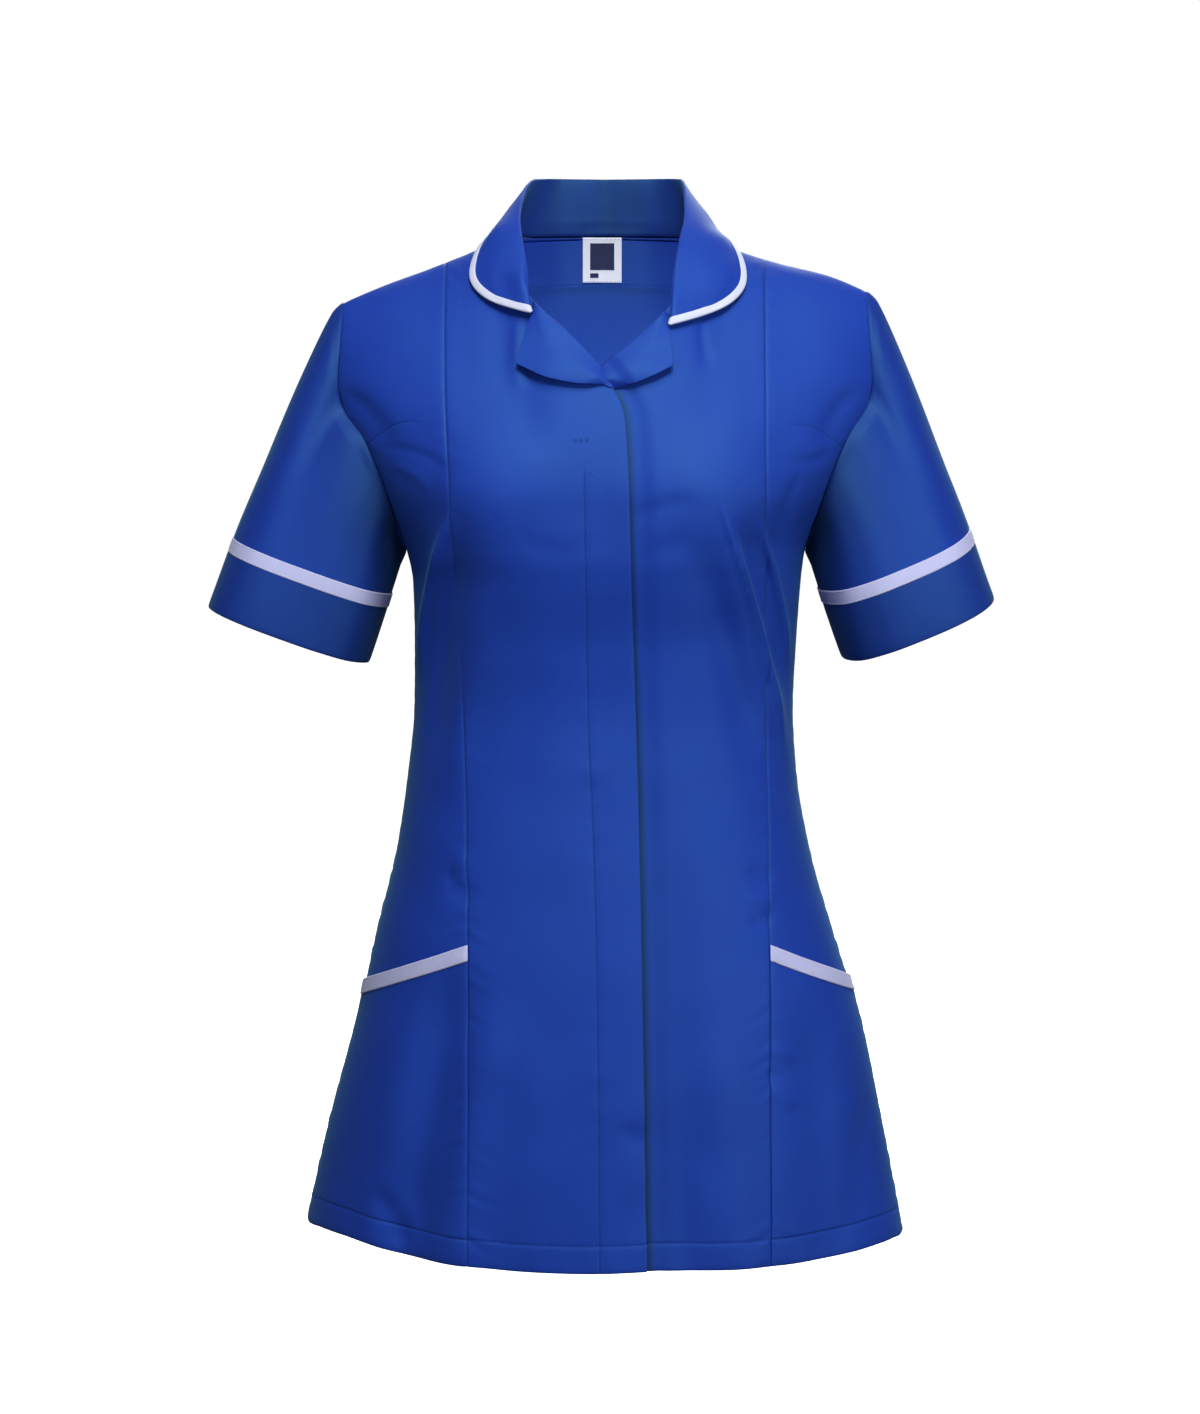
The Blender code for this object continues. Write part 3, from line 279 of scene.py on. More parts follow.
# Soft boxes: name, place, target, width, height, watts.
LIGHTS = (
    ("key", (0.10, -2.0, 1.75), (0.0, -0.10, -0.15), 0.7, 0.5, 42.0),
    ("upper", (0.15, -1.3, 2.2), (0.0, -0.05, -0.15), 1.4, 0.9, 38.0),
    ("right", (2.0, -2.0, -0.3), (0.0, 0.0, -0.40), 1.0, 1.6, 27.0),
    ("left", (-2.0, -2.0, -0.3), (0.0, 0.0, -0.40), 1.0, 1.6, 7.0),
    ("front", (0.3, -3.2, 0.0), (0.0, 0.0, -0.25), 2.2, 1.4, 9.0),
    ("inner", (0.0, -0.045, -0.30), (0.0, 0.09, -0.05), 0.10, 0.08, 0.50),
    ("back", (0.3, 2.8, 1.5), (0.0, 0.05, -0.30), 1.8, 1.6, 110.0),
)


class Side(Enum):
    """Which half of the body a panel belongs to."""

    FRONT = -1
    BACK = 1


class Hand(Enum):
    """The wearer's right (-X) or left (+X)."""

    RIGHT = -1
    LEFT = 1


def smooth(t: Array) -> Array:
    """A soft step from 0 to 1: t squared times (3 - 2t), with t held between 0 and 1."""
    t = np.clip(t, 0.0, 1.0)
    return t * t * (3.0 - 2.0 * t)


class TableCurve:
    """A smooth curve through a table, by cubic pieces that never overshoot.

    Slopes at the knots are weighted harmonic means of the slopes beside them, and 0 at a turn.
    """

    def __init__(self, rows: tuple, column: int = 1) -> None:
        """Args: rows: the table, first column the knots. column: which column to follow."""
        rows = sorted(rows)
        self.knots = np.array([row[0] for row in rows], dtype=float)
        self.values = np.array([row[column] for row in rows], dtype=float)
        self.steps = np.diff(self.knots)
        slopes = np.diff(self.values) / self.steps
        one, two = 2.0 * self.steps[1:] + self.steps[:-1], self.steps[1:] + 2.0 * self.steps[:-1]
        before, after = slopes[:-1], slopes[1:]
        turn = before * after <= 0.0
        safe_b, safe_a = np.where(turn, 1.0, before), np.where(turn, 1.0, after)
        middle = np.where(turn, 0.0, (one + two) / (one / safe_b + two / safe_a))
        self.tangents = np.concatenate((slopes[:1], middle, slopes[-1:]))

    def __call__(self, at: Array) -> Array:
        """Args: at: places along the table. Returns: the curve's values there."""
        at = np.clip(np.asarray(at, dtype=float), self.knots[0], self.knots[-1])
        cell = np.clip(np.searchsorted(self.knots, at, side="right") - 1, 0, len(self.steps) - 1)
        size = self.steps[cell]
        t = (at - self.knots[cell]) / size
        return ((2 * t**3 - 3 * t**2 + 1) * self.values[cell]
                + (t**3 - 2 * t**2 + t) * size * self.tangents[cell]
                + (3 * t**2 - 2 * t**3) * self.values[cell + 1]
                + (t**3 - t**2) * size * self.tangents[cell + 1])


def curve_of(table: tuple, columns: tuple, name: str) -> TableCurve:
    """A dataclass field that holds the curve through one named column of a table."""
    return field(default_factory=lambda: TableCurve(table, columns.index(name)))


def eased(values: Array, rounds: int) -> Array:
    """Values softened along their first axis, (a + 2b + c) / 4 each round, with both ends held."""
    values = values.copy()
    for _ in range(rounds):
        values[1:-1] = (values[:-2] + 2 * values[1:-1] + values[2:]) / 4
    return values


def beside_line(x: Array, z: Array, ends: tuple) -> tuple[Array, Array]:
    """Where points lie against a straight line seen from the front.

    Args: x, z: the points. ends: x0, z0, x1, z1 of the line.
    Returns: the share of the line run at each point, and its metres away, signed.
    """
    x0, z0, x1, z1 = ends
    dx, dz = x1 - x0, z1 - z0
    length = math.hypot(dx, dz)
    along = ((x - x0) * dx + (z - z0) * dz) / length**2
    return along, ((x - x0) * dz - (z - z0) * dx) / length


def unit(vectors: Array) -> Array:
    """Vectors of length 1 along the last axis."""
    return vectors / np.maximum(np.linalg.norm(vectors, axis=-1, keepdims=True), 1e-12)


def grid_normals(grid: Array, closed: bool = False) -> Array:
    """Normals of a grid of points: the cross product of its column and row directions.

    Args: grid: rows by columns by 3. closed: whether the last column joins the first.
    Returns: unit normals of the same shape.
    """
    if closed:
        wide = np.concatenate((grid[:, -1:], grid, grid[:, :1]), axis=1)
        across = wide[:, 2:] - wide[:, :-2]
    else:
        across = np.gradient(grid, axis=1)
    return unit(np.cross(across, np.gradient(grid, axis=0)))


def arc(grid: Array, axis: int, closed: bool = False) -> Array:
    """Length run along each row or column of a grid, 0 at its start."""
    size = np.linalg.norm(np.diff(grid, axis=axis), axis=-1)
    start = np.zeros_like(np.take(size, [0], axis=axis))
    return np.concatenate((start, np.cumsum(size, axis=axis)), axis=axis)


def interp_rows(at: Array, run: Array, values: Array) -> Array:
    """Straight interpolation in every row at once.

    Args: at: rows by n places. run: rows by m rising knots. values: rows by m by 3.
    Returns: rows by n by 3.
    """
    cell = np.stack([np.searchsorted(r, a, side="right") for r, a in zip(run, at)]) - 1
    cell = np.clip(cell, 0, run.shape[1] - 2)
    low = np.take_along_axis(run, cell, axis=1)
    high = np.take_along_axis(run, cell + 1, axis=1)
    t = np.clip((at - low) / np.maximum(high - low, 1e-12), 0.0, 1.0)[..., None]
    first = np.take_along_axis(values, cell[..., None], axis=1)
    second = np.take_along_axis(values, cell[..., None] + 1, axis=1)
    return first * (1 - t) + second * t


def cubic_upsample(grid: Array, rows: Array, closed: bool = False) -> Array:
    """Points between the rows of a grid on a Catmull-Rom curve through them.

    Each piece is 0.5(2b + (c-a)t + (2a-5b+4c-d)t^2 + (3b-a-3c+d)t^3) of four rows a, b, c, d.

    Args: grid: any array, first axis the knots. rows: places between 0 and the last row.
        closed: whether the knots run round.
    Returns: the values at those places.
    """
    count = grid.shape[0]
    i = np.floor(rows).astype(int)
    i = i if closed else np.clip(i, 0, count - 2)
    t = (rows - i).reshape((-1,) + (1,) * (grid.ndim - 1))

    def knot(k: Array) -> Array:
        """Value at a knot, run on in a straight line past an open end."""
        if closed:
            return grid[k % count]
        inside = grid[np.clip(k, 0, count - 1)]
        past = (k > count - 1).reshape(t.shape)
        before = (k < 0).reshape(t.shape)
        return np.where(past, 2 * grid[-1] - grid[-2], np.where(before, 2 * grid[0] - grid[1], inside))

    a, b, c, d = knot(i - 1), knot(i), knot(i + 1), knot(i + 2)
    return 0.5 * (2 * b + (c - a) * t + (2 * a - 5 * b + 4 * c - d) * t**2 + (3 * b - a - 3 * c + d) * t**3)


def bilinear(grid: Array, u: Array, v: Array) -> Array:
    """Values of a grid at fractional rows u and columns v, straight between its points."""
    i = np.clip(np.floor(u).astype(int), 0, grid.shape[0] - 2)
    j = np.clip(np.floor(v).astype(int), 0, grid.shape[1] - 2)
    a, b = (u - i)[..., None], (v - j)[..., None]
    return ((1 - a) * (1 - b) * grid[i, j] + a * (1 - b) * grid[i + 1, j]
            + (1 - a) * b * grid[i, j + 1] + a * b * grid[i + 1, j + 1])


def edge_spacing(length: float, step: float, fine: tuple = (0.0, 0.0005, 0.0012, 0.0022, 0.0036)) -> Array:
    """Places from 0 to 1 along a length, close together at both ends and even between.

    Args: length: metres across. step: the even spacing. fine: the first places from an end.
    Returns: rising places, first 0 and last 1.
    """
    fine = np.array(fine)
    inside = length - 2 * fine[-1]
    middle = np.linspace(fine[-1], length - fine[-1], max(int(round(inside / step)), 2) + 1)
    return np.concatenate((fine[:-1], middle, length - fine[-2::-1])) / length


@dataclass
class WornForm:
    """The torso of the tunic as worn: an oval section at each height that closes on the shoulders."""

    bust_height: float = -0.195
    bust_rise: float = 0.010
    blade_rise: float = 0.005
    half_left: TableCurve = curve_of(SECTIONS, SECTION_COLUMNS, "left")
    half_right: TableCurve = curve_of(SECTIONS, SECTION_COLUMNS, "right")
    front: TableCurve = curve_of(SECTIONS, SECTION_COLUMNS, "front")
    back: TableCurve = curve_of(SECTIONS, SECTION_COLUMNS, "back")
    power: TableCurve = curve_of(SECTIONS, SECTION_COLUMNS, "power")
    ridge_left: TableCurve = curve_of(RIDGE, RIDGE_COLUMNS, "left")
    ridge_right: TableCurve = curve_of(RIDGE, RIDGE_COLUMNS, "right")
    hem_curve: TableCurve = curve_of(HEM_RISE, SEAM_COLUMNS, "value")
    armhole: TableCurve = curve_of(ARMHOLE, SEAM_COLUMNS, "value")

    def ridge(self, x: Array) -> Array:
        """Height of the shoulder line at x."""
        return np.where(x < 0.0, self.ridge_left(-x), self.ridge_right(x))

    def half_width(self, x: Array, z: Array) -> Array:
        """Half width of the section at height z, on the side that x is on."""
        return np.where(x < 0.0, self.half_left(z), self.half_right(z))

    def fold_rise(self, x: Array, z: Array, side: int) -> Array:
        """Sum of the solids' folds: rise times a bell across each fold's line, faded at its ends."""
        total = np.zeros(np.broadcast(x, z).shape)
        for place, *line, width, rise in FOLDS:
            if place == side:
                along, across = beside_line(x, z, line)
                ends = smooth((along + 0.10) / 0.30) * smooth((1.10 - along) / 0.30)
                total = total + rise * ends * np.exp(-((across / width) ** 2))
        return total

    def crease_rise(self, x: Array, z: Array, side: int) -> Array:
        """Sum of the fine creases and of a faint uneven waviness.

        A crease's line bows by bow * 4t(1-t). Its section is a bell whose width is 1 + skew on one
        flank and 1 - skew on the other. The waviness is six slow sines in uneven directions.
        """
        total = np.zeros(np.broadcast(x, z).shape)
        for place, *line, bow, width, rise, skew in CREASES:
            if place != side:
                continue
            along, across = beside_line(x, z, line)
            share = np.clip(along, 0.0, 1.0)
            across = across - bow * 4.0 * share * (1.0 - share)
            wide = width * (1.0 + skew * np.tanh(across / width)) * (0.75 + 0.5 * share)
            ends = smooth((along + 0.12) / 0.40) * smooth((1.12 - along) / 0.40)
            total = total + rise * ends * np.exp(-((across / wide) ** 2))
        for kx, kz, phase, size in WAVES:
            total = total + size * np.sin(kx * x + kz * z + phase + side)
        return total

    def depth(self, x: Array, z: Array, side: int) -> Array:
        """y of the body's outer face.

        The oval is depth * (1 - |x/half|^p)^(1/p). It closes on the shoulder line by
        (1 - (1-t)^P)^(1/Q), t being how far below that line the point lies.
        """
        x, z = np.broadcast_arrays(np.asarray(x, dtype=float), np.asarray(z, dtype=float))
        power = self.power(z)
        reach = np.clip(np.abs(x) / self.half_width(x, z), 0.0, 1.0)
        oval = np.clip(1.0 - reach**power, 0.0, 1.0) ** (1.0 / power)
        top = self.ridge(x)
        t = np.clip((top - z) / (top - BUST_Z), 0.0, 1.0)
        closing = (1.0 - (1.0 - t) ** SHOULDER_P) ** (1.0 / SHOULDER_Q)
        depth = self.front(z) if side < 0 else self.back(z)
        soft = self.fold_rise(x, z, side) * smooth((1.0 - reach) / 0.18)
        if side < 0:
            spread = ((np.abs(x) - 0.082) / 0.048) ** 2 + ((z - self.bust_height) / 0.062) ** 2
            soft = soft + self.bust_rise * np.exp(-spread)
        else:
            spread = ((np.abs(x) - 0.080) / 0.050) ** 2 + ((z + 0.130) / 0.070) ** 2
            soft = soft + self.blade_rise * np.exp(-spread)
        return side * (depth * oval + soft) * closing

    def hem(self, x: Array) -> Array:
        """Height of the hem, higher towards the side seams and most at the wearer's right one."""
        return HEM_Z + self.hem_curve(x)

    def neck(self, x: Array) -> Array:
        """Height of the back neck edge."""
        return 0.0030 * (1.0 - (x / NECK_X) ** 2)

    def top(self, x: Array, side: int) -> Array:
        """Upper end of the rows: the shoulder line, and on the back the neck edge."""
        if side < 0:
            return self.ridge(x)
        return np.where(np.abs(x) < NECK_X, self.neck(x), self.ridge(x))

    def row_height(self, x: Array, level: Array, side: int) -> Array:
        """Height at x of a row: levels 0 to 1 run from hem to armhole, 1 to 2 on to the top."""
        hem, top = self.hem(x), self.top(x, side)
        return np.where(level <= 1.0, hem + (ARM_Z - hem) * level, ARM_Z + (top - ARM_Z) * (level - 1.0))

    def row_end(self, level: Array, line: object, side: int) -> Array:
        """x where each row meets a seam line, by steps of 0.4 old and 0.6 new."""
        x = np.full(level.shape, float(line(np.array(ARM_Z))))
        for _ in range(60):
            x = 0.4 * x + 0.6 * line(self.row_height(x, level, -1))
        return x

    def outer_right(self, z: Array) -> Array:
        """The wearer's right side seam, and the armhole above it."""
        return np.where(z > ARM_Z, -self.armhole(z), -self.half_left(z))

    def outer_left(self, z: Array) -> Array:
        """The wearer's left side seam, and the armhole above it."""
        widen = 0.0010 * smooth((-0.12 - z) / 0.10)
        return np.where(z > ARM_Z, self.armhole(z) + widen, self.half_right(z))

    def rows(self, line_a: object, line_b: object, side: int, levels: Array, s: Array,
             inset_a: float, inset_b: float, top_gap: float) -> Array:
        """Points of a panel between two seam lines.

        Each row is x = half * sin(turn) with turn even between its ends, then spaced by length.

        Args: line_a, line_b: x by height of the seams towards -X and +X. side: -1 or 1.
            levels: the rows. s: places across, 0 to 1. inset_a, inset_b: gaps left at the seams.
            top_gap: how far the shoulder edge stays from the shoulder line.
        Returns: levels by s by 3.
        """
        a, b = self.row_end(levels, line_a, side), self.row_end(levels, line_b, side)
        wide_a = np.maximum(self.half_width(a, self.row_height(a, levels, side)), np.abs(a))
        wide_b = np.maximum(self.half_width(b, self.row_height(b, levels, side)), np.abs(b))
        widest = np.maximum(wide_a, wide_b)
        wide_a, wide_b = (np.where(a * b > 0.0, widest, wide) for wide in (wide_a, wide_b))
        even = np.linspace(0.0, 1.0, 801 if side > 0 else 321)[None]
        turn = np.arcsin(a / wide_a)[:, None] * (1 - even) + np.arcsin(b / wide_b)[:, None] * even
        x = np.sin(turn) * np.where(turn < 0.0, wide_a[:, None], wide_b[:, None])
        x[:, 0], x[:, -1] = a, b
        z = self.row_height(x, levels[:, None], side)
        points = np.stack((x, self.depth(x, z, side), z), axis=-1)
        run = arc(points, 1)
        at = inset_a + (run[:, -1:] - inset_a - inset_b) * s[None]
        points = interp_rows(at, run, points)
        top = smooth((levels - 1.999) / 0.001)[:, None]
        if side > 0:
            top = top * smooth((np.abs(points[..., 0]) - NECK_X + 0.004) / 0.004)
        points[..., 1] += side * top_gap * top
        return points

    def surface(self, x: Array, z: Array, side: int, lift: float | Array = 0.0) -> Array:
        """Points of the plain outer face at x, z, moved out along its normal by lift."""
        step = 0.0005
        y = self.depth(x, z, side)
        slope_x = (self.depth(x + step, z, side) - self.depth(x - step, z, side)) / (2 * step)
        slope_z = (self.depth(x, z + step, side) - self.depth(x, z - step, side)) / (2 * step)
        normal = unit(side * np.stack((-slope_x, np.ones_like(slope_x), -slope_z), axis=-1))
        return np.stack(np.broadcast_arrays(x, y, z), axis=-1) + np.asarray(lift)[..., None] * normal


FORM = WornForm()


def body_levels(rows_above: int = 104) -> Array:
    """Rows of the body: close at the hem's fold and stitch line, 3 mm up to the armhole, then
    closer towards the shoulder, where level = 1 + 1 - (1-w)^1.6 with w even."""
    fold = [0.0, 0.0005, 0.0012, 0.0024, 0.0044, 0.0072, 0.0102, 0.0132, 0.0158]
    stitch = [HEM_TURN + d for d in (-0.0014, -0.0007, 0.0, 0.0007, 0.0014, 0.0030)]
    height = ARM_Z - HEM_Z
    plain = np.arange(stitch[-1] + 0.003, height - 0.0015, 0.0031)
    low = np.concatenate((fold, stitch, plain)) / height
    w = np.linspace(0.0, 1.0, rows_above + 1)
    return np.concatenate((low, 2.0 - (1.0 - w) ** 1.6))


LEVELS = body_levels()


@dataclass(frozen=True)
class SeamPucker:
    """Small uneven ripples that a seam pulls into the cloth beside it."""

    size: float = 0.00045
    reach: float = 0.011
    phase: float = 0.0

    def rise(self, distance: Array, z: Array) -> Array:
        """Ripples along z that lean back and die away with distance from the seam.

        Two sines of 11 and 17.3 mm are multiplied by a slow third that leaves stretches flat.
        """
        at = z + 0.45 * distance
        wave = (np.sin(2 * math.pi * at / 0.0110 + self.phase)
                + 0.8 * np.sin(2 * math.pi * at / 0.0173 + 1.3 * self.phase))
        stretch = 0.35 + 0.65 * smooth(0.5 + 0.9 * np.sin(2 * math.pi * z / 0.171 + 2.1 * self.phase))
        return self.size * wave * stretch * np.exp(-distance / self.reach)


def seam_groove(distance: Array, depth: float = 0.00050, width: float = 0.0009) -> Array:
    """A seam seen from outside: a narrow groove, and a low swell where its allowances lie."""
    swell = 0.00012 * smooth(distance / 0.003) * smooth((0.013 - distance) / 0.004)
    return -depth * np.exp(-((distance / width) ** 2)) + swell


@dataclass
class ClothMesh:
    """Writes a grid of points into Blender as a closed thin shell."""

    name: str
    outer: Array
    thickness: float | Array
    closed: bool = False
    outward: float = 1.0
    rolled: float = 0.5
    node: str | None = None
    attributes: dict = field(default_factory=dict)

    def lay_out(self) -> tuple[Array, Array, Array]:
        """Vertices, quads and metric UVs of the shell.

        The inner face is the outer one moved in by the thickness. Each open border is bridged
        through a middle line that stands out by rolled times the thickness, as a fold does.
        """
        grid = self.outer
        rows, cols = grid.shape[:2]
        normal = grid_normals(grid, self.closed) * self.outward
        thick = np.broadcast_to(np.asarray(self.thickness, dtype=float), (rows, cols))[..., None]
        inner = grid - normal * thick
        vertices = [grid.reshape(-1, 3), inner.reshape(-1, 3)]
        index = np.arange(rows * cols).reshape(rows, cols)
        wrap = np.concatenate((index, index[:, :1]), axis=1) if self.closed else index
        corners = (wrap[:-1, :-1], wrap[:-1, 1:], wrap[1:, 1:], wrap[1:, :-1])
        quads = np.stack(corners, axis=-1).reshape(-1, 4)
        if self.outward < 0:
            quads = quads[:, ::-1]
        count = rows * cols
        faces = [quads, quads[:, ::-1] + count]
        u, v = arc(grid, 1).mean(axis=0), arc(grid, 0).mean(axis=1)
        u_grid, v_grid = np.meshgrid(u, v)
        uvs = [np.stack((u_grid, v_grid), axis=-1).reshape(-1, 2)] * 2
        borders = [(index[0], grid[0] - grid[1], True), (index[-1], grid[-1] - grid[-2], False)]
        if not self.closed:
            borders += [(index[:, 0], grid[:, 0] - grid[:, 1], False),
                        (index[:, -1], grid[:, -1] - grid[:, -2], True)]
        total = 2 * count
        flat_grid, flat_inner = grid.reshape(-1, 3), inner.reshape(-1, 3)
        flat_thick, flat_uv = thick.reshape(-1, 1), uvs[0]
        corner_mid = {}
        for line, away, forward in borders:
            stand_out = unit(away) * flat_thick[line] * self.rolled
            middle = 0.5 * (flat_grid[line] + flat_inner[line]) + stand_out
            ids = np.arange(total, total + len(line))
            if not self.closed:
                for end in (0, -1):
                    corner = int(line[end])
                    if corner in corner_mid:
                        ids[end] = corner_mid[corner]
                    else:
                        corner_mid[corner] = int(ids[end])
            vertices.append(middle)
            uvs.append(flat_uv[line])
            total += len(line)
            run = np.append(np.arange(len(line)), 0) if self.closed else np.arange(len(line))
            a, b = line[run[:-1]], line[run[1:]]
            m, n = ids[run[:-1]], ids[run[1:]]
            upper = np.stack((a, m, n, b), axis=-1)
            lower = np.stack((m, a + count, b + count, n), axis=-1)
            flip = forward != (self.outward < 0)
            faces += [x if flip else x[:, ::-1] for x in (upper, lower)]
        return np.concatenate(vertices), np.concatenate(faces), np.concatenate(uvs)

    def make(self, finish: "ClothFinish") -> bpy.types.Object:
        """Builds the object, gives it its finish and joins it to the frame.

        The "seam" attribute holds the painted shade; it counts on both faces and is 0 round the
        edges. The others count on the outer face alone.

        Args: finish: its cloth. Returns: the object.
        """
        vertices, faces, uvs = self.lay_out()
        used = np.zeros(len(vertices), dtype=bool)
        used[faces.ravel()] = True
        remap = np.cumsum(used) - 1
        vertices, uvs, faces = vertices[used], uvs[used], remap[faces]
        made = mesh_object(self.name, vertices, faces, FINISHES.of(finish), uvs)
        for name, values in self.attributes.items():
            flat = np.asarray(values, dtype=float).ravel()
            layer = made.data.attributes.new(name, "FLOAT", "POINT")
            full = np.full(len(used), 0.0 if name == "seam" else 1.0)
            full[:flat.size] = flat
            if name == "seam":
                full[flat.size:2 * flat.size] = flat
            layer.data.foreach_set("value", full[used].astype(np.float32))
        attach(made, "root")
        if self.node:
            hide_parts(self.node)
        LOG.info("%s: %d faces", self.name, len(faces))
        return made


def mesh_object(name: str, vertices: Array, faces: Array, finish: bpy.types.Material,
                uvs: Array | None = None) -> bpy.types.Object:
    """A smooth mesh object from arrays.

    Args: name: its name. vertices: n by 3. faces: m by 4 or m by 3. finish: its material.
        uvs: n by 2, one for each vertex.
    Returns: the object, linked to the scene.
    """
    mesh = bpy.data.meshes.new(name)
    size = faces.shape[1]
    mesh.vertices.add(len(vertices))
    mesh.vertices.foreach_set("co", vertices.astype(np.float32).ravel())
    mesh.loops.add(faces.size)
    mesh.loops.foreach_set("vertex_index", faces.astype(np.int32).ravel())
    mesh.polygons.add(len(faces))
    mesh.polygons.foreach_set("loop_start", np.arange(0, faces.size, size, dtype=np.int32))
    mesh.update(calc_edges=True)
    if uvs is not None:
        layer = mesh.uv_layers.new(name="Cloth")
        layer.data.foreach_set("uv", uvs[faces.ravel()].astype(np.float32).ravel())
    mesh.shade_smooth()
    mesh.materials.append(finish)
    mesh.validate()
    made = bpy.data.objects.new(name, mesh)
    bpy.context.scene.collection.objects.link(made)
    return made


@dataclass
class NodeMaker:
    """Makes and feeds the nodes of one shader tree."""

    tree: bpy.types.NodeTree

    def make(self, kind: str, settings: dict, sockets: dict) -> bpy.types.Node:
        """Makes a node.

        Args: kind: its type. settings: what is set on it first. sockets: see feed.
        Returns: the node.
        """
        made = self.tree.nodes.new(kind)
        for name, value in settings.items():
            setattr(made, name, value)
        self.feed(made, sockets)
        return made

    def feed(self, node: bpy.types.Node, sockets: dict) -> None:
        """Sets or links a node's inputs.

        Args: node: the node. sockets: a value, an output socket or a Maths for each input.
        """
        for key, value in sockets.items():
            value = value.socket if isinstance(value, Maths) else value
            if isinstance(value, bpy.types.NodeSocket):
                self.tree.links.new(value, node.inputs[key])
            else:
                node.inputs[key].default_value = value


class Maths:
    """A value in a shader's node tree, on which the usual operators make Math nodes."""

    def __init__(self, nodes: NodeMaker, socket: object) -> None:
        """Args: nodes: the tree's maker. socket: an output socket, or a number."""
        self.nodes, self.socket = nodes, socket

    def node(self, operation: str, *others: object) -> "Maths":
        """Makes one Math node of this value and the others.

        Args: operation: its operation. others: Maths values or numbers.
        Returns: its result.
        """
        sockets = dict(enumerate((self, *others)))
        made = self.nodes.make("ShaderNodeMath", {"operation": operation}, sockets)
        return Maths(self.nodes, made.outputs[0])

    def __add__(self, other: object) -> "Maths":
        """Sum."""
        return self.node("ADD", other)

    def __sub__(self, other: object) -> "Maths":
        """Difference."""
        return self.node("SUBTRACT", other)

    def __rsub__(self, other: object) -> "Maths":
        """Difference, from the right."""
        return Maths(self.nodes, other).node("SUBTRACT", self)

    def __mul__(self, other: object) -> "Maths":
        """Product."""
        return self.node("MULTIPLY", other)

    def __truediv__(self, other: object) -> "Maths":
        """Quotient."""
        return self.node("DIVIDE", other)

    def __rtruediv__(self, other: object) -> "Maths":
        """Quotient, from the right."""
        return Maths(self.nodes, other).node("DIVIDE", self)

    __radd__, __rmul__ = __add__, __mul__

    def sine(self) -> "Maths":
        """Sine."""
        return self.node("SINE")

    def bell(self, width: float) -> "Maths":
        """A bell of this distance: e to the power of minus its square over the width's."""
        away = self / width
        return (0.0 - away * away).node("EXPONENT")


@dataclass(frozen=True)
class ClothFinish:
    """A woven cloth: its colours, shine, weave, the grooves that stitch lines press into it, and painted
    shade in those grooves and in shaded places.
    """

    name: str
    slot: str
    light: tuple[float, float, float]
    dark: tuple[float, float, float]
    roughness: float
    sheen: float
    sheen_tint: tuple[float, float, float]
    specular: float
    shine: tuple[float, float, float]
    thread: float = 0.00042
    weave_depth: float = 0.35
    slub: float = 0.5
    # grooves also turns on the painted shade that the seam and ditch attributes mix into the colour
    grooves: bool = False

    def build(self) -> bpy.types.Material:
        """Makes the material.

        Height is a plain weave, sin(u)sin(v) at the thread's pitch, plus long thin slubs and a
        soft crumple. Colour runs between the two tones by slow noise and by the slubs. Painted
        shade takes it towards a deep tone in seam grooves and pressed stitch lines, beside the
        lapped front edge, under the arms and inside the collar's stand; the same mix darkens the sleeves a
        little and the cuffs more.

        Returns: the material.
        """
        made = bpy.data.materials.new(self.name)
        made.use_nodes = True
        nodes = NodeMaker(made.node_tree)
        uv = nodes.make("ShaderNodeUVMap", {"uv_map": "Cloth"}, {})
        split = nodes.make("ShaderNodeSeparateXYZ", {}, {0: uv.outputs[0]})
        u, v = Maths(nodes, split.outputs[0]), Maths(nodes, split.outputs[1])
        turn = math.pi / self.thread
        weave = (u * turn).sine() * (v * turn).sine()

        def noise(scale: tuple[float, float], detail: float, rough: float) -> Maths:
            """Noise on the UVs, stretched by its two scales."""
            join = nodes.make("ShaderNodeCombineXYZ", {}, {0: u * scale[0], 1: v * scale[1]})
            texture = nodes.make("ShaderNodeTexNoise", {}, {
                "Vector": join.outputs[0], "Scale": 1.0, "Detail": detail, "Roughness": rough})
            return Maths(nodes, texture.outputs["Fac"])

        warp, weft = noise((1900.0, 60.0), 2.0, 0.6), noise((60.0, 1900.0), 2.0, 0.6)
        slow = noise((14.0, 14.0), 3.0, 0.55)
        crumple = noise((95.0, 75.0), 3.0, 0.5)
        span = nodes.make("ShaderNodeMapRange", {}, {
            "Value": 0.5 * slow + 0.28 * warp + 0.22 * weft, "From Min": 0.30, "From Max": 0.70})
        colour = nodes.make("ShaderNodeMix", {"data_type": "RGBA"}, {
            "A": (*self.dark, 1.0), "B": (*self.light, 1.0), "Factor": span.outputs["Result"],
        }).outputs["Result"]
        height = weave * self.weave_depth + self.slub * (warp + weft) + 2.2 * crumple
        if self.grooves:
            seam, line, depth = (
                Maths(nodes, nodes.make("ShaderNodeAttribute", {"attribute_name": name}, {}).outputs["Fac"])
                for name in ("seam", "ditch", "ditch_depth"))
            # painted shade: the colour that the seam attribute and the stitch-line ditches darken towards
            deep = (0.05 * self.dark[0], 0.06 * self.dark[1], 0.27 * self.dark[2], 1.0)
            colour = nodes.make("ShaderNodeMix", {"data_type": "RGBA"}, {
                "A": colour, "B": deep, "Factor": seam * 0.60 + line.bell(0.00055) * depth * 0.20,
            }).outputs["Result"]
            height = height - 11.0 * depth * line.bell(0.0008)
        bump = nodes.make("ShaderNodeBump", {}, {"Strength": 0.55, "Distance": 0.00006, "Height": height})
        nodes.feed(made.node_tree.nodes["Principled BSDF"], {
            "Sheen Weight": self.sheen, "Sheen Roughness": 0.45, "Sheen Tint": (*self.sheen_tint, 1.0),
            "Specular IOR Level": self.specular, "Specular Tint": (*self.shine, 1.0),
            "Base Color": colour, "Roughness": (self.roughness - 0.05) + 0.10 * slow,
            "Normal": bump.outputs["Normal"]})
        return made


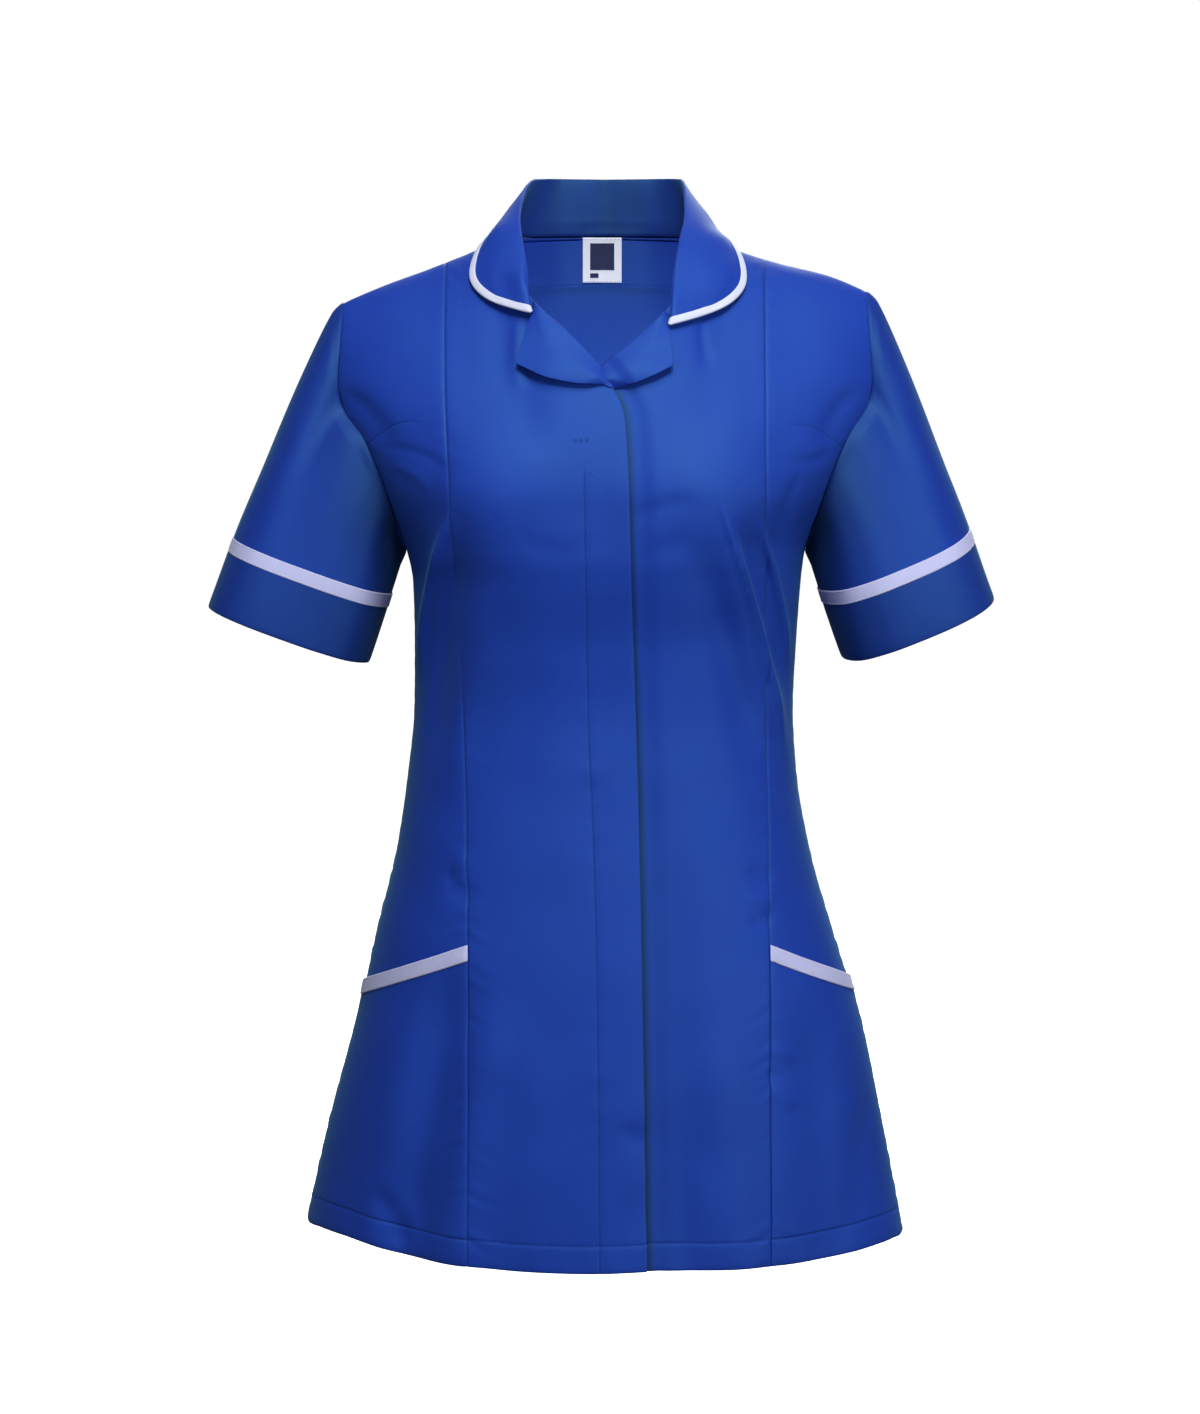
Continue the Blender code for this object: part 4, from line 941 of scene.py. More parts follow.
NEUTRAL = (1.0, 1.0, 1.0)
BLUE_POPLIN = ClothFinish(
    "Royal blue poplin", "blue_poplin", light=(0.0062, 0.0245, 0.345), dark=(0.0044, 0.0170, 0.290),
    roughness=0.66, sheen=0.08, sheen_tint=(0.25, 0.85, 0.7), specular=0.70, shine=(0.28, 0.88, 0.70),
    grooves=True)
WHITE_BINDING = ClothFinish(
    "White woven binding", "white_binding", light=(0.60, 0.63, 0.76), dark=(0.52, 0.56, 0.70),
    roughness=0.66, sheen=0.10, sheen_tint=NEUTRAL, specular=0.25, shine=NEUTRAL,
    thread=0.00055, weave_depth=0.8, slub=0.9)
# a darker, bluer copy of the white binding for the sleeve and pocket trims: painted shade with a painted
# blue reflection from the cloth round them
SHADED_TRIM_WHITE = replace(
    WHITE_BINDING, name="White sleeve and pocket trim", light=(0.50, 0.52, 0.78), dark=(0.42, 0.44, 0.70))
BLUE_THREAD = ClothFinish(
    "Blue sewing thread", "blue_poplin", light=(0.013, 0.052, 0.32), dark=(0.006, 0.024, 0.22),
    roughness=0.50, sheen=0.10, sheen_tint=(0.3, 0.8, 1.0), specular=0.45, shine=(0.4, 0.9, 1.0),
    thread=0.0003, weave_depth=0.6, slub=0.4)
WHITE_THREAD = replace(
    BLUE_THREAD, name="White sewing thread", slot="white_binding", light=(0.66, 0.67, 0.74),
    dark=(0.56, 0.57, 0.66), sheen=0.15, sheen_tint=NEUTRAL, shine=NEUTRAL)
LABEL_WHITE = ClothFinish(
    "White label satin", "white_binding", light=(0.95, 0.97, 0.99), dark=(0.90, 0.92, 0.95),
    roughness=0.50, sheen=0.10, sheen_tint=NEUTRAL, specular=0.35, shine=NEUTRAL,
    thread=0.0003, weave_depth=0.5, slub=0.3)
LABEL_NAVY = ClothFinish(
    "Navy label weave", "blue_poplin", light=(0.012, 0.020, 0.085), dark=(0.008, 0.014, 0.062),
    roughness=0.60, sheen=0.10, sheen_tint=(0.7, 0.8, 1.0), specular=0.25, shine=NEUTRAL,
    thread=0.0004, weave_depth=0.8, slub=0.5)


class Finishes:
    """The materials, each made once."""

    def __init__(self) -> None:
        """Starts with none made."""
        self.made: dict[str, bpy.types.Material] = {}

    def of(self, finish: ClothFinish) -> bpy.types.Material:
        """The material of a finish."""
        if finish.name not in self.made:
            self.made[finish.name] = finish.build()
        return self.made[finish.name]


FINISHES = Finishes()


@dataclass
class Stitching:
    """Runs of machine stitches, each a small arched thread that dips into the cloth at its ends."""

    name: str
    finish: ClothFinish
    length: float = 0.0024
    gap: float = 0.0007
    radius: float = 0.00021
    runs: list = field(default_factory=list)

    def add(self, path: Array, normal: Array) -> None:
        """Lays stitches along a path.

        Args: path: n by 3 points on the cloth's face. normal: the face's normals there.
        """
        run = arc(path[None], 1)[0]
        count = int(run[-1] // (self.length + self.gap))
        if count < 1:
            return
        pitch = run[-1] / count
        at = (np.arange(count) + 0.5) * pitch
        half = 0.5 * (pitch - self.gap)

        def sample(values: Array, places: Array) -> Array:
            """Values along the path at lengths places."""
            return np.stack([np.interp(places, run, values[:, k]) for k in range(3)], axis=-1)

        ends = sample(path, at + half) - sample(path, at - half)
        up = unit(sample(normal, at))
        self.runs.append((sample(path, at), unit(ends), up, np.full(count, half)))

    def build(self) -> bpy.types.Object:
        """Turns all runs into one mesh.

        A stitch has rings of six at -1, -0.6, 0, 0.6 and 1 of its half length. Ring k has radius
        times (0.35, 0.95, 1, 0.95, 0.35) and height 0.55 radius above the cloth in its middle.
        """
        centre, along, up, half = (np.concatenate(part) for part in zip(*self.runs))
        side = unit(np.cross(along, up))
        t = np.array([-1.0, -0.6, 0.0, 0.6, 1.0])
        size = np.array([0.35, 0.95, 1.0, 0.95, 0.35]) * self.radius
        height = np.array([-0.9, 0.30, 0.60, 0.30, -0.9]) * self.radius
        angle = np.arange(6) * math.pi / 3
        ring = (np.cos(angle)[None, :, None, None], np.sin(angle)[None, :, None, None])
        spine = (centre[None] + along[None] * (t[:, None, None] * half[None, :, None])
                 + up[None] * height[:, None, None])
        around = ring[0] * side[None, None] + ring[1] * up[None, None]
        points = spine[:, None] + size[:, None, None, None] * around
        points = points.transpose(2, 0, 1, 3)
        count = len(centre)
        base = np.arange(30).reshape(5, 6)
        nxt = np.roll(base, -1, axis=1)
        quads = np.stack((base[:-1], base[1:], nxt[1:], nxt[:-1]), axis=-1).reshape(-1, 4)
        caps = np.array([[0, 1, 2, 3], [0, 3, 4, 5], [27, 26, 25, 24], [29, 28, 27, 24]])
        quads = np.concatenate((quads, caps))
        faces = (quads[None] + 30 * np.arange(count)[:, None, None]).reshape(-1, 4)
        vertices = points.reshape(-1, 3)
        one_uv = (np.repeat(t, 6) * self.length / 2, np.tile(angle, 5) * self.radius)
        uvs = np.tile(np.stack(one_uv, axis=-1), (count, 1))
        made = mesh_object(self.name, vertices, faces, FINISHES.of(self.finish), uvs)
        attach(made, "root")
        LOG.info("%s: %d stitches", self.name, count)
        return made


def no_marks(grid: Array) -> dict[str, Array]:
    """The attributes of a piece that no stitch line presses into."""
    return {"ditch": np.ones(grid.shape[:2]), "ditch_depth": np.zeros(grid.shape[:2])}


def lap_share(x: Array, z: Array) -> Array:
    """How fully the left front lies under the right one at x, z: 0 to 1."""
    edge = TableCurve(EDGE_RIGHT)(z)
    return smooth((edge + 0.020 - x) / 0.014) * smooth((-0.080 - z) / 0.012)


@dataclass
class BodyPanel:
    """One cut piece of the body between two seams, from hem to shoulder."""

    name: str
    side: Side
    line_a: object
    line_b: object
    width: float
    flat: tuple[float, float]
    area: float
    seam_a: bool = True
    seam_b: bool = True
    phase: float = 0.0
    step: float = 0.0026
    thickness: float = 0.0007
    fly: bool = False
    lapped: bool = False
    darts: str = ""

    def build_grid(self) -> None:
        """Works out the finished outer face, its normals and the marks that grooves follow.

        Finished face = plain face + normal * (creases + puckers + seam grooves).
        """
        self.shares = edge_spacing(self.width, self.step)
        side = self.side.value
        base = FORM.rows(self.line_a, self.line_b, side, LEVELS, self.shares, 0.0, 0.0, SHOULDER_GAP)
        if self.lapped:
            base[..., 1] += UNDERLAP * lap_share(base[..., 0], base[..., 2])
        normal = grid_normals(base) * -side
        x, z = base[..., 0], base[..., 2]
        run = arc(base, 1)
        edges = ((run, self.seam_a, self.phase), (run[:, -1:] - run, self.seam_b, self.phase + 2.6))
        reach = np.abs(x) / FORM.half_width(x, z)
        near_top = smooth(self.top_distance(x, z) / 0.010)
        front = self.side is Side.FRONT
        calm_sides = smooth((1.02 - reach) / 0.10) if front else smooth((1.004 - reach) / 0.03)
        low = 0.35 + 0.65 * smooth((-0.30 - z) / 0.20)
        rise = FORM.crease_rise(x, z, side) * near_top * calm_sides
        for distance, is_seam, phase in edges:
            if is_seam:
                pucker = SeamPucker(phase=phase).rise(distance, z) * smooth(distance / 0.004)
                rise = rise + seam_groove(distance) + pucker * low * near_top
            else:
                rise = rise - 0.00025 * np.exp(-((distance / 0.0012) ** 2))
        rise = rise + seam_groove(self.top_distance(x, z), 0.0009, 0.0010) * (z > ARM_Z)
        rise = rise + self.hem_rise(x, z)
        # painted shade for the seam grooves and the lapped edge, kept in the seam attribute
        self.seam = self.painted_shade(x, z, edges)
        self.ditch, self.ditch_depth = self.marks(x, z)
        rise = rise - 0.0003 * self.ditch_depth * np.exp(-((self.ditch / 0.0016) ** 2))
        rise = rise + self.fly_rise(x, z)
        self.grid = base + normal * rise[..., None]
        self.normal = grid_normals(self.grid) * -side

    def painted_shade(self, x: Array, z: Array, edges: tuple) -> Array:
        """Painted shade: darker in the seam grooves, and a painted shadow beside the edge that laps over.

        Args: x, z: the points. edges: distance, whether a seam, and phase at both edges.
        Returns: 0 for the plain colour, more for a deeper one.
        """
        painted_shade = np.zeros_like(x)
        # painted shade in the seam grooves
        for distance, is_seam, _ in edges:
            painted_shade = np.maximum(painted_shade, 0.38 * np.exp(-((distance / 0.0009) ** 2)) * is_seam)
        # painted shade in the shoulder seam and along the back neck edge
        at_top = 0.5 * np.exp(-((self.top_distance(x, z) / 0.0010) ** 2))
        painted_shade = np.maximum(painted_shade, at_top * (z > ARM_Z))
        # painted shadow beside the right front's edge that laps over, with a wide soft painted shade on the
        # skirt
        if self.lapped:
            past = np.maximum(x - TableCurve(EDGE_RIGHT)(z), 0.0)
            near = 1.6 * np.exp(-((past / 0.0032) ** 2)) * smooth((-0.088 - z) / 0.010)
            wide = 0.34 * np.exp(-past / 0.020) * smooth((-0.30 - z) / 0.10)
            painted_shade = np.maximum(painted_shade, near + wide)
        return painted_shade

    def top_distance(self, x: Array, z: Array) -> Array:
        """How far below the shoulder line or neck edge a point lies."""
        return np.maximum(FORM.top(x, self.side.value) - z, 0.0) * 1.3

    def hem_rise(self, x: Array, z: Array) -> Array:
        """The hem's turned fold: its edge rolls in, its stitch line sinks, small pulls between."""
        up = z - FORM.hem(x)
        pull = np.sin(x * 320.0 + 2.0 * np.sin(x * 47.0)) * np.exp(-((up - 0.012) / 0.009) ** 2) * 0.00016
        return (-0.0007 * np.exp(-up / 0.0010) - 0.00035 * np.exp(-(((up - HEM_TURN) / 0.0009) ** 2))
                + pull + 0.00012 * smooth((HEM_TURN - up) / 0.002))

    def marks(self, x: Array, z: Array) -> tuple[Array, Array]:
        """Signed distance to the panel's inner stitch line, and how deep it is along its length."""
        if self.fly:
            return x - FLY_LINE(z), smooth((-0.1640 - z) / 0.004)
        if self.darts == "bust":
            sign = -1.0 if float(self.line_b(np.array(-0.2))) < 0 else 1.0
            out = np.abs(x)
            line = (-0.1335 + 0.0025 * (sign < 0) - 0.130 * np.abs(out - 0.135)
                    - 17.6 * np.maximum(out - 0.140, 0.0) ** 2)
            return z - line, smooth((out - 0.1255) / 0.010)
        if self.darts == "waist":
            centre = 0.078 + 0.006 * ((z + 0.335) / 0.16)
            return np.abs(x) - centre, smooth((0.155 - np.abs(z + 0.335)) / 0.04)
        return np.ones_like(x), np.zeros_like(x)

    def fly_rise(self, x: Array, z: Array) -> Array:
        """The placket's layers: a faint swell between its stitch line and the front edge."""
        if not self.fly:
            return np.zeros_like(x)
        inside = smooth((x - FLY_LINE(z)) / 0.003) * smooth((-0.155 - z) / 0.02)
        ripple = (np.sin(z * 2 * math.pi / 0.0210) + 0.7 * np.sin(z * 2 * math.pi / 0.0340 + 1.1))
        near = np.exp(-np.abs(x - FLY_LINE(z)) / 0.006) * smooth((-0.170 - z) / 0.05)
        uneven = 0.3 + 0.7 * smooth(0.5 + 0.9 * np.sin(z * 31.0 + 0.8))
        edge = np.exp(-np.abs(x - TableCurve(EDGE_RIGHT)(z)) / 0.012) * smooth((-0.56 - z) / 0.05)
        return (0.00030 * inside + 0.00022 * ripple * near * uneven
                + 0.0005 * edge * np.sin(z * 2 * math.pi / 0.047 + 0.6))

    def make(self) -> bpy.types.Object:
        """Builds the panel's shell in blue poplin, thicker along the turned hem."""
        up = self.grid[..., 2] - FORM.hem(self.grid[..., 0])
        thick = self.thickness + 0.0005 * smooth((HEM_TURN + 0.0008 - up) / 0.0010)
        marks = {"ditch": self.ditch, "ditch_depth": self.ditch_depth, "seam": self.seam}
        made = ClothMesh(self.name + "_cloth", self.grid, thick, outward=-float(self.side.value),
                         rolled=0.35, node=self.name, attributes=marks).make(BLUE_POPLIN)
        return made

    def at_rows(self, rows: Array, cols: Array, lift: float = 0.0) -> tuple[Array, Array]:
        """Points and normals of the finished face at fractional rows and columns."""
        normal = unit(bilinear(self.normal, rows, cols))
        return bilinear(self.grid, rows, cols) + normal * lift, normal

    def locate(self, x: Array, z: Array) -> tuple[Array, Array]:
        """Fractional row and column of the face at x, z, by eight steps of correction."""
        side = self.side.value
        level = np.where(z < ARM_Z, (z - FORM.hem(x)) / (ARM_Z - FORM.hem(x)),
                         1.0 + (z - ARM_Z) / (FORM.top(x, side) - ARM_Z))
        rows = np.interp(level, LEVELS, np.arange(len(LEVELS)))
        last = self.grid.shape[1] - 1.0
        cols = np.full(np.shape(x), last / 2.0)
        for _ in range(8):
            here = bilinear(self.grid, rows, cols)
            high, low = np.minimum(cols + 0.5, last), np.maximum(cols - 0.5, 0.0)
            ahead, behind = bilinear(self.grid, rows, high), bilinear(self.grid, rows, low)
            slope = (ahead - behind)[..., 0] / np.maximum(high - low, 1e-6)
            slope = np.where(np.abs(slope) < 1e-6, 1e-6, slope)
            cols = np.clip(cols + (x - here[..., 0]) / slope, 0.0, last)
        return rows, cols

    def at(self, x: Array, z: Array, lift: float = 0.0) -> tuple[Array, Array]:
        """Points and normals of the finished face at x, z."""
        rows, cols = self.locate(np.asarray(x, dtype=float), np.asarray(z, dtype=float))
        return self.at_rows(rows, cols, lift)


FLY_LINE = TableCurve(((-0.100, -0.0150), (-0.164, -0.0145), (-0.250, -0.0135), (-0.337, -0.0119),
                       (-0.430, -0.0080), (-0.528, -0.0056), (-0.720, -0.0040)))


class Body:
    """The five panels of the torso and the stitch lines that run down them."""

    def __init__(self) -> None:
        """Names the seams and the panels between them."""
        princess_r, princess_l = TableCurve(PRINCESS_RIGHT), TableCurve(PRINCESS_LEFT)
        edge_r, edge_l = TableCurve(EDGE_RIGHT), TableCurve(EDGE_LEFT)
        self.front_right = BodyPanel("front_right", Side.FRONT, princess_r, edge_r, 0.128, (0.150, 0.760),
                                     0.090, seam_b=False, phase=0.7, fly=True)
        self.front_left = BodyPanel("front_left", Side.FRONT, edge_l, princess_l, 0.128, (0.150, 0.760),
                                    0.092, seam_a=False, phase=1.9, lapped=True)
        self.side_right = BodyPanel("side_front_right", Side.FRONT, FORM.outer_right, princess_r, 0.130,
                                    (0.180, 0.760), 0.075, phase=3.1, darts="bust")
        self.side_left = BodyPanel("side_front_left", Side.FRONT, princess_l, FORM.outer_left, 0.110,
                                   (0.160, 0.760), 0.070, phase=4.3, darts="bust")
        self.back = BodyPanel("back", Side.BACK, FORM.outer_right, FORM.outer_left, 0.470, (0.560, 0.740),
                              0.320, phase=5.5, step=0.0033, darts="waist")
        self.panels = (self.front_right, self.front_left, self.side_right, self.side_left, self.back)

    def build(self) -> None:
        """Makes the panels."""
        for panel in self.panels:
            panel.build_grid()
            panel.make()

    def stitch(self, blue: Stitching) -> None:
        """Lays the body's stitch lines: hem, fly with its curved foot, bar tack and front edge."""
        for panel in self.panels:
            cols = np.linspace(1.0, panel.grid.shape[1] - 2.0, 700)
            level = HEM_TURN / (ARM_Z - HEM_Z)
            rows = np.full(cols.shape, np.interp(level, LEVELS, np.arange(len(LEVELS))))
            blue.add(*panel.at_rows(rows, cols))
        fly = self.front_right
        z = np.linspace(-0.1665, HEM_Z + HEM_TURN, 700)
        blue.add(*fly.at(FLY_LINE(z), z))
        turn = np.linspace(0.0, 1.0, 40)
        blue.add(*fly.at(-0.0145 + 0.0100 * turn, -0.1650 - 0.0075 * turn ** 2))
        for drop in (0.0, 0.0009, 0.0018):
            blue.add(*fly.at(np.linspace(-0.0225, -0.0105, 20), -0.1435 + 0.0014 * turn[:20] - drop))
        edge = TableCurve(EDGE_RIGHT)
        z = np.linspace(HEM_Z + 0.002, HEM_Z + HEM_TURN, 30)
        blue.add(*fly.at(edge(z) - 0.0018, z))


# The solid's rows above the armhole's lowest point, and those that its sleeve passes over.
UPPER_SHARES = (0.0, 0.13, 0.28, 0.43, 0.57, 0.70, 0.80, 0.88, 0.935, 0.968, 0.988, 0.997, 1.0)
UPPER_LEVELS = [1.0 + share for share in UPPER_SHARES]
PASSED_LEVELS = (1.997, 1.968)


def ring_lines(front: Array, back: Array, hand: Hand) -> tuple[Array, Array]:
    """The armhole as a loop of points, from the shoulder down the front and up the back.

    Args: front, back: the plain side front's and back's rows above the armhole's lowest point.
        hand: which sleeve.
    Returns: the loop and its outward normals.
    """
    end = -1 if hand is Hand.LEFT else 0
    f_normal, b_normal = grid_normals(front), -grid_normals(back)
    body = [i for i, level in enumerate(UPPER_LEVELS) if level not in PASSED_LEVELS][1:-1]
    loop = [0.5 * (front[-1, end] + back[-1, end])] + [front[i, end] for i in reversed(body)]
    loop += [0.5 * (front[0, end] + back[0, end])] + [back[i, end] for i in body]
    normals = [0.5 * (f_normal[-1, end] + b_normal[-1, end])] + [f_normal[i, end] for i in reversed(body)]
    normals += [np.array((float(hand.value), 0.0, 0.0))] + [b_normal[i, end] for i in body]
    return np.array(loop), unit(np.array(normals))


@dataclass
class Sleeve:
    """A short set-in sleeve with a turned cuff and a white trim over their seam."""

    hand: Hand
    cuff_ends: tuple
    flat_sleeve: tuple[float, float]
    sleeve_area: float
    columns: int = 230
    thickness: float = 0.0007

    def lines(self) -> Array:
        """Lines down the sleeve, from the armhole to the hem, evenly round it.

        Each is a cubic from the armhole to the cuff: (2t^3-3t^2+1)a + (t^3-2t^2+t)leave
        + (3t^2-2t^3)b + (t^3-t^2)axis. The lines of the solid are joined by smooth cubics.
        """
        sign = float(self.hand.value)
        levels = np.array(UPPER_LEVELS)
        princess = TableCurve(PRINCESS_LEFT if sign > 0 else PRINCESS_RIGHT)
        seams = (princess, FORM.outer_left) if sign > 0 else (FORM.outer_right, princess)
        gaps = (SOLID_INSET, SOLID_INSET, SOLID_SHOULDER_GAP)
        front = FORM.rows(*seams, -1, levels, np.linspace(0.0, 1.0, 7), *gaps)
        back = FORM.rows(FORM.outer_right, FORM.outer_left, 1, levels, np.linspace(0, 1, 27), *gaps)
        loop, normals = ring_lines(front, back, self.hand)
        start = loop + normals * SLEEVE_GAP
        run = np.linalg.norm(np.roll(loop, -1, axis=0) - loop, axis=1)
        turn = 2 * math.pi * np.concatenate(([0.0], np.cumsum(run)[:-1])) / run.sum()
        cuff = self.cuff_ends
        outer, inner = np.array((cuff[0], 0.0, cuff[1])), np.array((cuff[2], 0.0, cuff[3]))
        middle, across = 0.5 * (outer + inner), 0.5 * (outer - inner)
        forward = np.array((0.0, -SLEEVE_DEPTH, -cuff[4]))
        axis = np.cross(unit(across), unit(forward))
        axis *= -np.sign(axis[2])
        c, s = np.cos(turn), np.sin(turn)
        size = (np.abs(c) ** 2.5 + np.abs(s) ** 2.5) ** (-1 / 2.5)
        end = middle + across * (c * size)[:, None] + forward * (s * size)[:, None]
        weights = {"top": np.maximum(c, 0.0), "front": np.maximum(s, 0.0),
                   "bottom": np.maximum(-c, 0.0), "back": np.maximum(-s, 0.0)}
        leave = sum(np.array(SLEEVE_LEAVES[k])[None] * (w * w)[:, None] for k, w in weights.items())
        strength = leave[:, 3:]
        leave = unit(leave[:, :3] * np.array((sign, 1.0, 1.0)))
        chord = np.linalg.norm(end - start, axis=1, keepdims=True)
        t = np.linspace(0.0, 1.0, 200)[None, :, None]
        lines = ((2 * t**3 - 3 * t**2 + 1) * start[:, None]
                 + (t**3 - 2 * t**2 + t) * (leave * chord * strength)[:, None]
                 + (3 * t**2 - 2 * t**3) * end[:, None] + (t**3 - t**2) * (axis * chord * 0.50)[:, None])
        self.angle = np.linspace(0, 2 * math.pi, self.columns, endpoint=False)
        knots = np.concatenate((turn, [2 * math.pi]))
        at = np.interp(self.angle, knots, np.arange(len(turn) + 1))
        self.start_normal = unit(cubic_upsample(normals, at, closed=True))
        return cubic_upsample(lines, at, closed=True)

    def rings(self, lines: Array, shares: Array, low: float, high: Array | float) -> Array:
        """Rings between two distances from the hem, as rows from low to high."""
        run = arc(lines, 1)
        total = run[:, -1:]
        top = total if high is None else np.full_like(total, high)
        at = total - (low + (top - low) * shares[None])
        order = np.argsort(at, axis=1)
        rising = np.take_along_axis(at, order, axis=1)
        points = interp_rows(rising, run, lines)
        back = np.argsort(order, axis=1)
        return np.take_along_axis(points, back[..., None], axis=1).transpose(1, 0, 2)

    def relief(self, rings: Array, kind: str) -> Array:
        """Folds of the sleeve: drags from the armhole, soft bends at the elbow side, eased head.

        Args: rings: the rings. kind: "sleeve" or "cuff". Returns: heights over the plain form.
        """
        a = self.angle[None]
        down = arc(rings, 0)
        from_top = down[-1:] - down if kind == "sleeve" else down * 0.0 + 0.2
        up = down if kind == "sleeve" else down - down[-1:]
        front, back, top = np.sin(a), -np.sin(a), np.cos(a)
        rise = 0.00035 * np.sin(3 * a + 40.0 * up + 0.7) + 0.00022 * np.sin(5 * a - 63.0 * up + 2.0)
        for size, place, drift, width, start in SLEEVE_BENDS:
            bend = size * np.exp(-((a - place - drift * up) / width) ** 2)
            rise = rise + bend * smooth((up + start) / 0.06)
        if kind == "sleeve":
            drag = np.exp(-((from_top - 0.045 - 0.02 * np.abs(front)) / 0.030) ** 2)
            rise = rise - 0.0012 * drag * smooth(front) * np.exp(-((a - 2.2) / 0.5) ** 2)
            rise = rise - 0.0012 * drag * smooth(back) * np.exp(-((a - 4.1) / 0.5) ** 2)
            ease = np.sin(a * 46.0) * np.exp(-from_top / 0.008) * smooth(top / 0.6)
            rise = rise + 0.00028 * ease
            rise = rise * smooth(from_top / 0.010)
            rise = rise + seam_groove(from_top, 0.0003, 0.0012)
        return rise

    def painted_shade(self, grid: Array, name: str) -> Array:
        """Painted shade under the arm and near the armhole; the sleeve is also a little darker all over and
        the cuff more.
        """
        # painted shade under the arm
        under = smooth((1.85 - np.abs(self.angle - math.pi)) / 1.4)[None]
        level = {"sleeve_": 0.22, "cuff_": 0.62}.get(name, 0.0)
        down = arc(grid, 0)
        high = smooth((down - 0.01) / 0.06) if name == "sleeve_" else 0.3 + 0.0 * down
        # painted shade near the armhole seam
        near = 0.50 * np.exp(-(down[-1:] - down) / 0.035) * (name == "sleeve_")
        return near + level + (1.45 - level) * under * (0.35 + 0.65 * high) * (level > 0.0)

    def build(self, white: Stitching) -> None:
        """Makes the sleeve, cuff and trim, and stitches the trim."""
        hand = self.hand.name.lower()
        lines = self.lines()
        out = -1.0 if self.hand is Hand.LEFT else 1.0

        above = edge_spacing(0.17, 0.0022)
        upper = self.rings(lines, above, CUFF_WIDTH + 0.0006, None)
        from_top = arc(upper, 0)[-1:] - arc(upper, 0)
        tuck = SLEEVE_GAP * (1.0 - smooth(from_top / 0.0130)) * 0.85
        upper = upper - self.start_normal[None] * tuck[..., None]
        normal = grid_normals(upper, True) * out
        upper = upper + normal * self.relief(upper, "sleeve")[..., None]
        lower = self.rings(lines, edge_spacing(CUFF_WIDTH, 0.0022), 0.0, CUFF_WIDTH)
        normal = grid_normals(lower, True) * out
        height = arc(lower, 0)
        fold = -0.0005 * np.exp(-height / 0.0009) + self.relief(lower, "cuff") * 0.8
        lower = lower + normal * (fold + 0.0003)[..., None]
        trim = self.rings(lines, edge_spacing(TRIM_WIDTH + 0.001, 0.0011, (0.0, 0.0004, 0.0010)),
                          CUFF_WIDTH - 0.0010, CUFF_WIDTH + TRIM_WIDTH)
        normal = grid_normals(trim, True) * out
        band = arc(trim, 0) - 0.5 * (TRIM_WIDTH + 0.001)
        crown = 0.00025 * (1.0 - (band / (0.5 * TRIM_WIDTH)) ** 2)
        trim = trim + normal * (self.relief(trim, "cuff") * 0.8 + crown * 0.6 + 0.0006)[..., None]

        pieces = (("sleeve_", upper, self.thickness, BLUE_POPLIN, self.flat_sleeve, self.sleeve_area,
                   "hung"),
                  ("cuff_", lower, 0.0011, BLUE_POPLIN, (0.40, 0.044), None, "folded"),
                  ("sleeve_trim_", trim, 0.0005, SHADED_TRIM_WHITE, (0.40, 0.0105), None, "stretched"))
        for name, grid, thick, finish, flat, area, held in pieces:
            # the seam attribute here carries the sleeve's painted shade
            made = ClothMesh(f"{name}{hand}_cloth", grid, thick, closed=True, outward=out, rolled=0.4,
                             node=name + hand,
                             attributes={**no_marks(grid), "seam": self.painted_shade(grid, name)}).make(finish)
            rests = "back" if name == "sleeve_" else "sleeve_" + hand
        round_trim = [np.concatenate((g, g[:, :1]), axis=1) for g in (trim, grid_normals(trim, True) * out)]
        cols = np.minimum(np.arange(self.columns + 1, dtype=float), self.columns - 1e-6)
        for share in (0.13, 0.87):
            row = np.full(self.columns + 1, share * (trim.shape[0] - 1))
            white.add(*(bilinear(g, row, cols) for g in round_trim))


